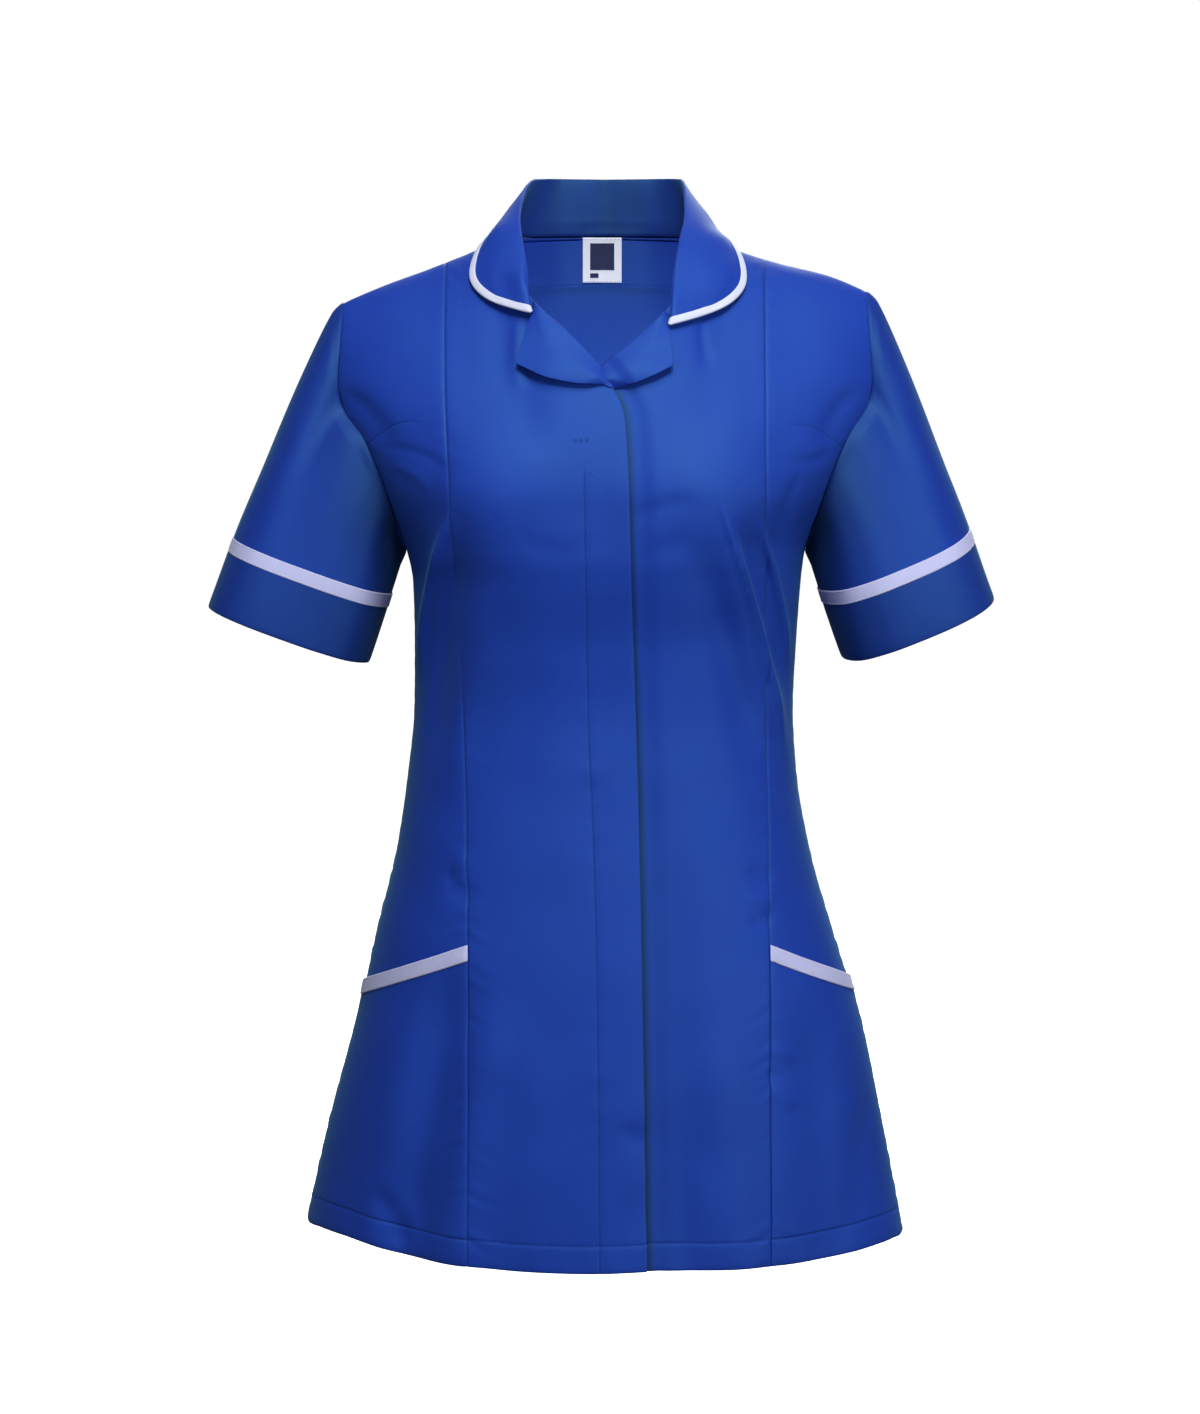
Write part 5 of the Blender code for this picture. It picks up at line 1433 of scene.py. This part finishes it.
@dataclass
class Collar:
    """The bound collar: stand, roll and fall in one, with a white binding round its outer edge."""

    rows_fine: int = 361
    thickness: float = 0.0009
    binding_half: float = 0.00105
    corner_rows: float = 1.35
    corner_cols: float = 1.05

    def frame(self, station: float) -> tuple[Array, Array, Array, float]:
        """Neck seam, roll, edge and bulge at a station from -1, the right front end, to 1."""
        table, edge_rows, mirror = ((COLLAR_LEFT, EDGE_LEFT, 1.0) if station >= 0.0
                                    else (COLLAR_RIGHT, EDGE_RIGHT, -1.0))
        at = abs(station)
        value = {name: float(TableCurve(table, i)(at)) for i, name in enumerate(COLLAR_COLUMNS) if i}
        roll = np.array((mirror * value["rx"], value["ry"], value["rz"]))
        edge = np.array((mirror * value["ex"], value["ey"], value["ez"]))
        if at < 0.52:
            x = np.array(NECK_X * math.sin(at / 0.52 * math.pi / 2))
            seam = FORM.surface(mirror * x, FORM.neck(x) - 0.0004, 1, 0.0012)
        else:
            z = np.array(-0.0008 - (at - 0.52) / 0.48 * 0.0500)
            x = mirror * (mirror * TableCurve(edge_rows)(z) + value["seam"])
            seam = FORM.surface(x, z, -1, 0.0012)
        return seam, roll, edge, value["bulge"]

    def coarse(self) -> Array:
        """The middle face on the solid's rows and columns.

        Columns: seam, mid stand, inner roll, top of roll, outer roll, three of the fall, edge.
        """
        frames = [self.frame(float(s)) for s in np.linspace(-1.0, 1.0, 2 * COLLAR_STEPS + 1)]
        seam, roll, edge = (np.array([f[i] for f in frames]) for i in range(3))
        seam = eased(seam, 1)
        bulge = np.array([f[3] for f in frames])[:, None]
        run = unit(np.gradient(roll, axis=0))
        up = roll - (0.5 * seam + 0.5 * edge)
        up = unit(up - (up * run).sum(axis=1, keepdims=True) * run)
        out = -np.cross(run, up)
        inner = roll - 1.4 * ROLL_RADIUS * up - ROLL_RADIUS * out
        outer = roll - 1.4 * ROLL_RADIUS * up + ROLL_RADIUS * out
        columns = [seam, 0.5 * (seam + inner), inner, roll, outer]
        band = 1.0 - (BINDING_WIDTH + 0.0014) / np.linalg.norm(edge - outer, axis=1, keepdims=True)
        for part in (0.38, 0.72, 1.0):
            t = part * band
            columns.append(outer + (edge - outer) * t + out * bulge * 4 * t * (1 - t))
        grid = np.stack(columns + [edge], axis=1)
        grid = self.keep_clear(grid, np.array(COLLAR_LIFTS))
        grid[:, 4:] = eased(grid[:, 4:], 2)
        return self.keep_clear(grid, np.array(COLLAR_LIFTS) - 0.00035)

    def body_samples(self) -> tuple[Array, Array]:
        """Points and normals of the plain body round the neck."""
        points, normals = [], []
        for side in (-1, 1):
            x, drop = np.meshgrid(np.linspace(-0.125, 0.125, 126), np.linspace(0.0, 1.0, 60) ** 2 * 0.12)
            z = FORM.top(x, side) - drop
            if side < 0:
                inside = (x > TableCurve(EDGE_RIGHT)(z)) & (x < TableCurve(EDGE_LEFT)(z))
                inside |= (np.abs(x) < NECK_X) & (z > 0.0)
                x, z = x[~inside], z[~inside]
            x, z = x.ravel(), z.ravel() - 1e-5
            points.append(FORM.surface(x, z, side))
            normals.append(FORM.surface(x, z, side, 1.0) - points[-1])
        return np.concatenate(points), np.concatenate(normals)

    def keep_clear(self, grid: Array, needed: Array) -> Array:
        """Moves points out along the nearest body normal until they are a least distance away."""
        at, normal = self.body_samples()
        out = grid.copy()
        need = np.broadcast_to(needed, grid.shape[:2]).ravel()
        for _ in range(3):
            flat = out.reshape(-1, 3)
            square = ((flat**2).sum(axis=1)[:, None] - 2 * flat @ at.T + (at**2).sum(axis=1)[None])
            near = square.argmin(axis=1)
            gap = flat - at[near]
            away = (gap * normal[near]).sum(axis=1)
            sideways = np.linalg.norm(gap - away[:, None] * normal[near], axis=1)
            push = np.where((away < need) & (sideways < 0.004), need - away, 0.0)
            out = (flat + normal[near] * push[:, None]).reshape(grid.shape)
        return out

    def fine(self) -> Array:
        """The middle face on fine rows and columns, with its front corners rounded.

        Near the front ends the last columns draw in by 1 - sqrt(1 - (1-u/r)^2), a quarter round.
        """
        coarse = self.coarse()
        rows = np.linspace(0.0, coarse.shape[0] - 1.0, self.rows_fine)
        grid = cubic_upsample(coarse, rows)
        last = 8.0
        spots = np.concatenate((np.linspace(0.0, 2.0, 16)[:-1], np.linspace(2.0, 4.0, 13)[:-1],
                                np.linspace(4.0, last, 34)))
        fine = cubic_upsample(grid.transpose(1, 0, 2), spots).transpose(1, 0, 2)
        from_end = np.minimum(rows, coarse.shape[0] - 1.0 - rows)
        t = np.clip(1.0 - from_end / self.corner_rows, 0.0, 1.0)
        pull = self.corner_cols * (1.0 - np.sqrt(np.maximum(1.0 - t**2, 0.0)))
        drawn = 4.0 + (spots[None] - 4.0) * (last - pull[:, None] - 4.0) / 4.0
        drawn = np.where(spots[None] > 4.0, drawn, spots[None])
        place = np.interp(drawn.ravel(), spots, np.arange(len(spots))).reshape(drawn.shape)
        row_at = np.broadcast_to(np.arange(len(rows), dtype=float)[:, None], place.shape)
        fine = bilinear(fine, row_at, place)
        fall = smooth((spots - 3.6) / 1.0)[None, :, None]
        fine = fine + (eased(fine, 60) - fine) * fall
        fine = self.round_off(fine, int(np.searchsorted(spots, 3.0)))
        self.spots = spots
        return fine

    def build(self, white: Stitching) -> None:
        """Makes the collar and its binding, and stitches the binding."""
        middle = self.fine()
        normal = grid_normals(middle)
        down = np.broadcast_to(self.spots[None], middle.shape[:2])
        along = np.linspace(-1.0, 1.0, middle.shape[0])[:, None]
        soft = smooth((down - 4.3) / 1.5) * smooth((7.6 - down) / 1.2)
        wave = (0.0006 * np.sin(along * 13.0 + 0.6) + 0.0004 * np.sin(along * 29.0 + down * 0.7)) * soft
        stand = smooth(down / 0.5) * smooth((2.6 - down) / 1.0)
        wave = wave + 0.0006 * np.sin(along * 21.0 + 1.0) * stand
        # the stand's seam to the fall's under layer shows as a shallow crease inside the neck
        wave = wave - 0.0005 * np.exp(-(((down - 0.55) / 0.10) ** 2))
        middle = middle + normal * wave[..., None]
        outer = middle + grid_normals(middle) * (self.thickness / 2)
        # painted shade: the inside of the back stand darkened in uneven streaks, and the neck seam line
        # darkened too
        painted_shade_streaks = 0.08 * np.sin(along * 26.0 + 0.5) + 0.05 * np.sin(along * 61.0 + down)
        inside = (1.15 + painted_shade_streaks) * smooth((3.05 - down) / 0.5) * smooth((0.62 - np.abs(along)) / 0.10)
        seam = np.maximum(inside, 0.9 * np.exp(-((down / 0.06) ** 2)))
        made = ClothMesh("collar_cloth", outer, self.thickness, rolled=0.3, node="collar",
                         attributes={**no_marks(outer), "seam": seam}).make(BLUE_POPLIN)
        self.bind(middle, white)

    @staticmethod
    def rim(grid: Array, first: int) -> Array:
        """The grid's border from column first of its first row, along its last column and back."""
        return np.concatenate((grid[0, first:], grid[1:-1, -1], grid[-1, first:][::-1]))

    def round_off(self, sheet: Array, first: int) -> Array:
        """Rounds the fall's two corners.

        The outer edge is smoothed along its run, and its shift spreads into the sheet as the mean
        of its four neighbours.

        Args: sheet: the grid. first: the column where the ends start. Returns: the rounded grid.
        """
        edge = self.rim(sheet, first)
        turn, shift, ends = eased(edge, 130) - edge, np.zeros_like(sheet), sheet.shape[1] - first
        for _ in range(160):
            around = shift[:-2, 1:-1] + shift[2:, 1:-1] + shift[1:-1, :-2] + shift[1:-1, 2:]
            shift[1:-1, 1:-1] = 0.25 * around
            shift[0, first:], shift[1:-1, -1] = turn[:ends], turn[ends:-ends]
            shift[-1, first:] = turn[-ends:][::-1]
        return sheet + shift

    def bind(self, middle: Array, white: Stitching) -> None:
        """Wraps the binding round the collar's edge.

        Its middle line is the edge from roll to roll. Lines on the face at set distances inside
        the edge are moved out by the binding's height, over and under, and meet round the edge.
        """
        first = int(np.searchsorted(self.spots, 3.0))
        normal = grid_normals(middle)
        border, n_border = self.rim(middle, first), self.rim(normal, first)
        run = arc(border[None], 1)[0]
        at = np.linspace(0.0, run[-1], 520)
        edge = np.stack([np.interp(at, run, border[:, k]) for k in range(3)], axis=-1)
        n_edge = unit(np.stack([np.interp(at, run, n_border[:, k]) for k in range(3)], axis=-1))
        along = unit(np.gradient(edge, axis=0))
        inward = unit(np.cross(n_edge, along))
        flat, flat_n = middle.reshape(-1, 3), normal.reshape(-1, 3)

        def on_face(distance: float) -> tuple[Array, Array]:
            """Points of the face at a distance inside the edge, and its normals there."""
            guess = edge + inward * distance
            square = ((guess**2).sum(axis=1)[:, None] - 2 * guess @ flat.T + (flat**2).sum(axis=1)[None])
            near = np.argpartition(square, 6, axis=1)[:, :6]
            weight = 1.0 / (np.take_along_axis(square, near, axis=1) + 1e-8)
            weight = weight / weight.sum(axis=1, keepdims=True)
            n = unit((flat_n[near] * weight[..., None]).sum(axis=1))
            p = (flat[near] * weight[..., None]).sum(axis=1)
            guess = guess - ((guess - p) * n).sum(axis=1, keepdims=True) * n
            return eased(guess, 3), unit(eased(n, 3))

        half = self.binding_half
        lines = []
        over = ((BAND_SHOWN, 0.85), (BAND_SHOWN - 0.0006, 1.02), (0.0112, 1.05), (0.0088, 1.06),
                (0.0066, 1.06), (0.0044, 1.07), (0.0022, 1.06), (0.0009, 1.02))
        for distance, height in over:
            p, n = on_face(distance)
            lines.append(p + n * half * height)
        for angle in (70, 40, 10, -20, -50, -80):
            c, s = math.cos(math.radians(angle)), math.sin(math.radians(angle))
            lines.append(edge - inward * (0.0002 + half * c) + n_edge * half * s)
        for distance in (0.0012, 0.0026, 0.0040):
            p, n = on_face(distance)
            lines.append(p - n * half)
        strip = np.stack(lines, axis=1)
        made = ClothMesh("collar_binding_cloth", strip, 0.0006, rolled=0.45,
                         node="collar_binding").make(WHITE_BINDING)
        p, n = on_face(BAND_SHOWN - 0.0012)
        white.add((p + n * half * 1.09)[4:-4], n[4:-4])


@dataclass
class Lapel:
    """A small lapel: the front facing turned back along the roll line, a leaf pointed at both ends."""

    hand: Hand
    corners: tuple
    flat: tuple[float, float]
    area: float
    thickness: float = 0.0009

    def build(self) -> None:
        """Makes the lapel.

        Rows run from the break to the notch. Four first columns wrap round the front's edge, the
        rest go out to the lapel's own edge. At share s it stands off the front by
        base + a * sin(pi min(s, .55)), and more at the lower edge, which throws a shadow.
        """
        sign = float(self.hand.value)
        name = self.hand.name.lower()
        edge = TableCurve(EDGE_LEFT if sign > 0 else EDGE_RIGHT)
        outline = np.array(self.corners)
        lengths = np.concatenate(([0.0], np.cumsum(np.linalg.norm(np.diff(outline, axis=0), axis=1))))
        tip = lengths[LAPEL_TIPS[name]]
        half = edge_spacing(0.04, 0.0010, (0.0, 0.0002, 0.0006))
        t = np.concatenate((0.55 * half, 0.55 + 0.45 * half[1:]))
        z = outline[0, 1] + (outline[-1, 1] - outline[0, 1]) * t
        roll = np.stack((edge(z), z), axis=-1)
        rim = np.where(t <= 0.55, tip * t / 0.55, tip + (lengths[-1] - tip) * (t - 0.55) / 0.45)
        outer = np.stack([np.interp(rim, lengths, outline[:, k]) for k in range(2)], axis=-1)
        along = unit(np.gradient(roll, axis=0))
        open_side = np.stack((along[:, 1], -along[:, 0]), axis=-1)
        open_side *= -sign * np.sign(open_side[:, :1] + 1e-9)
        wide = np.linalg.norm(outer - roll, axis=1)
        outer = roll - open_side * 0.0012 + np.where(wide < 0.0004, 0.0, 1.0)[:, None] * (outer - roll)
        s = edge_spacing(0.05, 0.0010, (0.0, 0.0003, 0.0008))
        wrap = ((-0.0016, -0.0014), (0.0002, -0.0013), (0.0007, -0.0006), (0.0007, 0.0002))
        points = [roll + open_side * out for out, _ in wrap]
        points += [roll - open_side * 0.0002 + (outer - roll) * share for share in s[1:]]
        flat = np.stack(points, axis=1)
        broad = (smooth(t / 0.16) * smooth((1.0 - t) / 0.30))[:, None]
        share = s[None, 1:]
        lower = np.exp(-(((t - 0.42) / 0.24) ** 2))[:, None]
        lift = (0.0010 + 0.0034 * np.sin(math.pi * np.minimum(share, 0.55)) * broad
                + 0.0026 * smooth(share) * lower
                + 0.0007 * np.sin(math.pi * share) * np.sin(7.0 * t)[:, None] * broad
                + 0.0020 * smooth((t - 0.80) / 0.20)[:, None] * (1.0 - share))
        lift = np.concatenate((np.broadcast_to(np.array([h for _, h in wrap]), (len(t), 4)), lift), axis=1)
        grid = FORM.surface(flat[..., 0], flat[..., 1], -1, lift)
        if sign > 0:
            grid[..., 1] += UNDERLAP * lap_share(grid[..., 0], grid[..., 2])
        made = ClothMesh(f"lapel_{name}_cloth", grid, self.thickness, outward=sign, rolled=0.35,
                         node=f"lapel_{name}", attributes=no_marks(grid)).make(BLUE_POPLIN)


@dataclass
class NeckInside:
    """What shows inside the back of the neck: the facing and a bare label."""

    facing_drops: tuple = (0.0345, 0.0012)

    def build(self, white: Stitching, blue: Stitching) -> None:
        """Makes the facing, the label and the label's plain navy block and bar."""
        drop = np.linspace(self.facing_drops[0], self.facing_drops[1], 40)[:, None]
        t = np.linspace(-1.0, 1.0, 150)[None]
        x = (NECK_X - 0.0035 + 0.016 * drop / 0.0345) * np.sin(t * math.pi / 2)
        z = FORM.top(x, 1) - drop - 0.0020 * np.abs(t)
        wave = 0.00022 * np.sin(x * 190.0 + 1.0) * smooth((drop - 0.01) / 0.02)
        grid = FORM.surface(x, z, 1, -(0.0012 + 0.0012) + wave)
        made = ClothMesh("back_neck_facing_cloth", grid, 0.0006, rolled=0.4, node="back_neck_facing",
                         attributes=no_marks(grid)).make(BLUE_POPLIN)
        normal = grid_normals(grid)
        blue.add(grid[3] + normal[3] * 0.0001, normal[3])

        def patch(x: tuple[float, float], z: tuple[float, float], lift: float, thick: float,
                  finish: ClothFinish, name: str, node: str | None) -> tuple[bpy.types.Object, Array]:
            """A small flat piece on the inside of the back neck, between two x and two heights."""
            fine = (0.0, 0.0003, 0.0008)
            px, pz = np.meshgrid(*(edge_spacing(b - a, 0.0012, fine) * (b - a) + a for a, b in (x, z)))
            wave = 0.0002 * np.sin((px - x[0]) * 160.0 + 0.5) * smooth(-pz / 0.02)
            face = FORM.surface(px, pz, 1, -lift + wave)
            piece = ClothMesh(name, face, thick, rolled=0.4, node=node, attributes=no_marks(face))
            return piece.make(finish), face

        label, face = patch((-0.0165, 0.0125), (-0.0272, 0.0045), 0.0040, 0.0005, LABEL_WHITE,
                            "neck_label_cloth", "neck_label")
        block, _ = patch((-0.0112, 0.0072), (-0.0182, 0.0007), 0.0044, 0.0003, LABEL_NAVY,
                         "label_block", None)
        bar, _ = patch((-0.0112, -0.0052), (-0.0238, -0.0208), 0.0044, 0.0003, LABEL_NAVY,
                       "label_bar", None)
        n = grid_normals(face)
        white.add(face[-3] + n[-3] * 0.0001, n[-3])
        white.add(face[2] + n[2] * 0.0001, n[2])


@dataclass
class Pocket:
    """A patch pocket over the side front, with a slanted mouth bound in white."""

    hand: Hand
    panel: BodyPanel
    mouth_ends: tuple[float, float]
    flat: tuple[float, float]
    area: float

    def grid(self, low: float | None, step: float) -> Array:
        """Points on the panel from a height below the mouth, or the hem, up to the mouth.

        Args: low: how far below the mouth it starts, or None for the hem. step: spacing of rows.
        Returns: rows by columns by 3.
        """
        panel = self.panel.grid
        levels = np.arange(len(LEVELS), dtype=float)
        lower = LEVELS <= 1.0
        cols = panel.shape[1]
        mouth_z = self.mouth(panel)
        line_z = panel[lower][:, :, 2]

        def rows_of(heights: Array) -> Array:
            """Fractional row at which each column of the panel reaches a height."""
            return np.array([np.interp(heights[j], line_z[:, j], levels[lower]) for j in range(cols)])

        tops = rows_of(mouth_z)
        bottoms = rows_of(line_z[0] + 0.0004 if low is None else mouth_z - low)
        shares = edge_spacing(0.20, step) if low is None else edge_spacing(low, step, (0.0, 0.0004, 0.0010))
        rows = bottoms[None] + (tops - bottoms)[None] * shares[:, None]
        at = np.broadcast_to(np.arange(cols, dtype=float)[None], rows.shape)
        return self.panel.at_rows(rows, at)[0]

    def mouth(self, panel: Array) -> Array:
        """Height of the mouth at each column, straight as seen from the front and a little above."""
        a, b = self.mouth_ends
        columns = panel[LEVELS <= 1.0].transpose(1, 0, 2)
        x, y = (np.array([np.interp((a + b) / 2, line[:, 2], line[:, k]) for line in columns])
                for k in (0, 1))
        share = (x - x[0]) / (x[-1] - x[0])
        return a + (b - a) * share + CAMERA_SLOPE * (y[0] + (y[-1] - y[0]) * share - y)

    def build(self, white: Stitching, blue: Stitching) -> None:
        """Makes the pocket and its bound mouth, which gapes a little in the middle."""
        hand = self.hand.name.lower()
        patch = self.grid(None, 0.0030)
        height = arc(patch, 0)
        from_mouth = height[-1:] - height
        share = self.panel.shares[None]
        gape = 0.0016 * np.sin(math.pi * share) * np.exp(-from_mouth / 0.028)
        slack = 0.0007 * np.sin(math.pi * share) * np.sin(math.pi * np.clip(from_mouth / 0.17, 0, 1))
        edge = 0.0007 * np.exp(-height / 0.0012)
        lift = 0.0010 + gape + slack - edge * 0.6
        normal = -grid_normals(patch) * self.panel.side.value
        patch = patch + normal * lift[..., None]
        marks = {"ditch": height - HEM_TURN, "ditch_depth": np.ones(patch.shape[:2])}
        made = ClothMesh(f"pocket_{hand}_cloth", patch, 0.0006, rolled=0.35, node="pocket_" + hand,
                         attributes=marks).make(BLUE_POPLIN)
        stitched = grid_normals(patch)
        row = np.array([np.interp(HEM_TURN, column, np.arange(len(column))) for column in height.T])
        cols = np.linspace(1.0, patch.shape[1] - 2.0, 400)
        rows = np.interp(cols, np.arange(len(row)), row)
        blue.add(bilinear(patch, rows, cols), unit(bilinear(stitched, rows, cols)))

        band = self.grid(BAND_WIDTH, 0.0011)
        across = arc(band, 0)
        gape = 0.0016 * np.sin(math.pi * share) * np.exp(-(across[-1:] - across) / 0.028)
        crown = 0.00022 * (1.0 - ((across / across[-1:]) * 2 - 1) ** 2)
        n = -grid_normals(band) * self.panel.side.value
        band = band + n * (0.0010 + gape + 0.0009 + crown)[..., None]
        made = ClothMesh(f"pocket_binding_{hand}_cloth", band, 0.0007,
                         node="pocket_binding_" + hand).make(SHADED_TRIM_WHITE)
        n = grid_normals(band)
        for share_up in (0.14, 0.86):
            cols = np.linspace(1.0, band.shape[1] - 2.0, 300)
            rows = np.full(cols.shape, share_up * (band.shape[0] - 1))
            white.add(bilinear(band, rows, cols), unit(bilinear(n, rows, cols)))


@dataclass
class Studio:
    """A plain pale floor, soft lights and the camera at the photograph's angle."""

    camera_at: tuple[float, float, float] = (-0.0036, -2.80, -0.135)
    pitch_down: float = 4.09
    lens: float = 99.58
    floor_z: float = -0.95

    def build(self) -> None:
        """Makes the floor, the lights, the surround and the camera."""
        scene = bpy.context.scene
        angle = np.linspace(0, 2 * math.pi, 97)[:-1]
        radius = np.array([0.0001, 1.0, 3.0, 8.0, 14.0])
        x, y = radius[:, None] * np.cos(angle)[None], radius[:, None] * np.sin(angle)[None]
        points = np.stack((x, y, np.full_like(x, self.floor_z)), axis=-1)
        index = np.arange(points.shape[0] * 96).reshape(-1, 96)
        nxt = np.roll(index, -1, axis=1)
        faces = np.stack((index[:-1], index[1:], nxt[1:], nxt[:-1]), axis=-1).reshape(-1, 4)
        material = bpy.data.materials.new("Pale floor")
        material.use_nodes = True
        NodeMaker(material.node_tree).feed(material.node_tree.nodes["Principled BSDF"], {
            "Base Color": (0.80, 0.80, 0.80, 1.0), "Roughness": 0.9, "Specular IOR Level": 0.1,
            "Emission Color": (1.0, 1.0, 1.0, 1.0), "Emission Strength": 1.0})
        floor = mesh_object("floor", points.reshape(-1, 3), faces, material)
        floor.visible_diffuse = floor.visible_glossy = False

        for row in LIGHTS:
            self.light(*row)

        world = bpy.data.worlds.new("Surround")
        scene.world = world
        world.use_nodes = True
        nodes, ground = NodeMaker(world.node_tree), world.node_tree.nodes["Background"]
        nodes.feed(ground, {"Color": (1.0, 1.0, 1.0, 1.0), "Strength": 1.0})
        dim = nodes.make("ShaderNodeBackground", {}, {"Color": (0.92, 0.95, 1.0, 1.0), "Strength": 0.12})
        path = nodes.make("ShaderNodeLightPath", {}, {})
        mix = nodes.make("ShaderNodeMixShader", {}, {
            0: path.outputs["Is Camera Ray"], 1: dim.outputs[0], 2: ground.outputs[0]})
        nodes.feed(world.node_tree.nodes["World Output"], {0: mix.outputs[0]})
        scene.view_settings.view_transform = "Standard"
        scene.view_settings.exposure = 0.0

        data = bpy.data.cameras.new("camera")
        data.sensor_width, data.lens = 36.0, self.lens
        data.clip_start, data.clip_end = 0.05, 60.0
        camera = bpy.data.objects.new("camera", data)
        camera.location = self.camera_at
        camera.rotation_euler = (math.radians(90.0 - self.pitch_down), 0.0, 0.0)
        scene.collection.objects.link(camera)
        scene.camera = camera

    def light(self, name: str, at: tuple, target: tuple, width: float, height: float, power: float) -> None:
        """A soft box.

        Args: name: its name. at: its place. target: what it points at. width, height: its size.
            power: watts.
        """
        data = bpy.data.lights.new(name, "AREA")
        data.shape, data.size, data.size_y, data.energy = "RECTANGLE", width, height, power
        lamp = bpy.data.objects.new(name, data)
        lamp.location = at
        direction = np.array(target) - np.array(at)
        yaw = math.atan2(direction[1], direction[0]) - math.pi / 2
        tilt = math.atan2(direction[2], math.hypot(direction[0], direction[1])) + math.pi / 2
        lamp.rotation_euler = (tilt, 0.0, yaw)
        bpy.context.scene.collection.objects.link(lamp)


def main() -> None:
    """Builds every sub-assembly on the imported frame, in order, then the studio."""
    logging.basicConfig(level=logging.INFO, format="%(message)s")
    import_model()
    blue = Stitching("stitching_blue", BLUE_THREAD)
    white = Stitching("stitching_white", WHITE_THREAD)

    body = Body()
    body.build()
    body.stitch(blue)
    for sleeve in (Sleeve(Hand.RIGHT, CUFF_RIGHT, (0.42, 0.150), 0.044),
                   Sleeve(Hand.LEFT, CUFF_LEFT, (0.42, 0.150), 0.044)):
        sleeve.build(white)
    Collar().build(white)
    Lapel(Hand.RIGHT, LAPEL_RIGHT, (0.066, 0.052), 0.0019).build()
    Lapel(Hand.LEFT, LAPEL_LEFT, (0.060, 0.045), 0.0014).build()
    NeckInside().build(white, blue)
    Pocket(Hand.RIGHT, body.side_right, MOUTH_RIGHT, (0.155, 0.215), 0.028).build(white, blue)
    Pocket(Hand.LEFT, body.side_left, MOUTH_LEFT, (0.140, 0.215), 0.025).build(white, blue)
    blue.build()
    white.build()
    Studio().build()


if __name__ == "__main__":
    main()
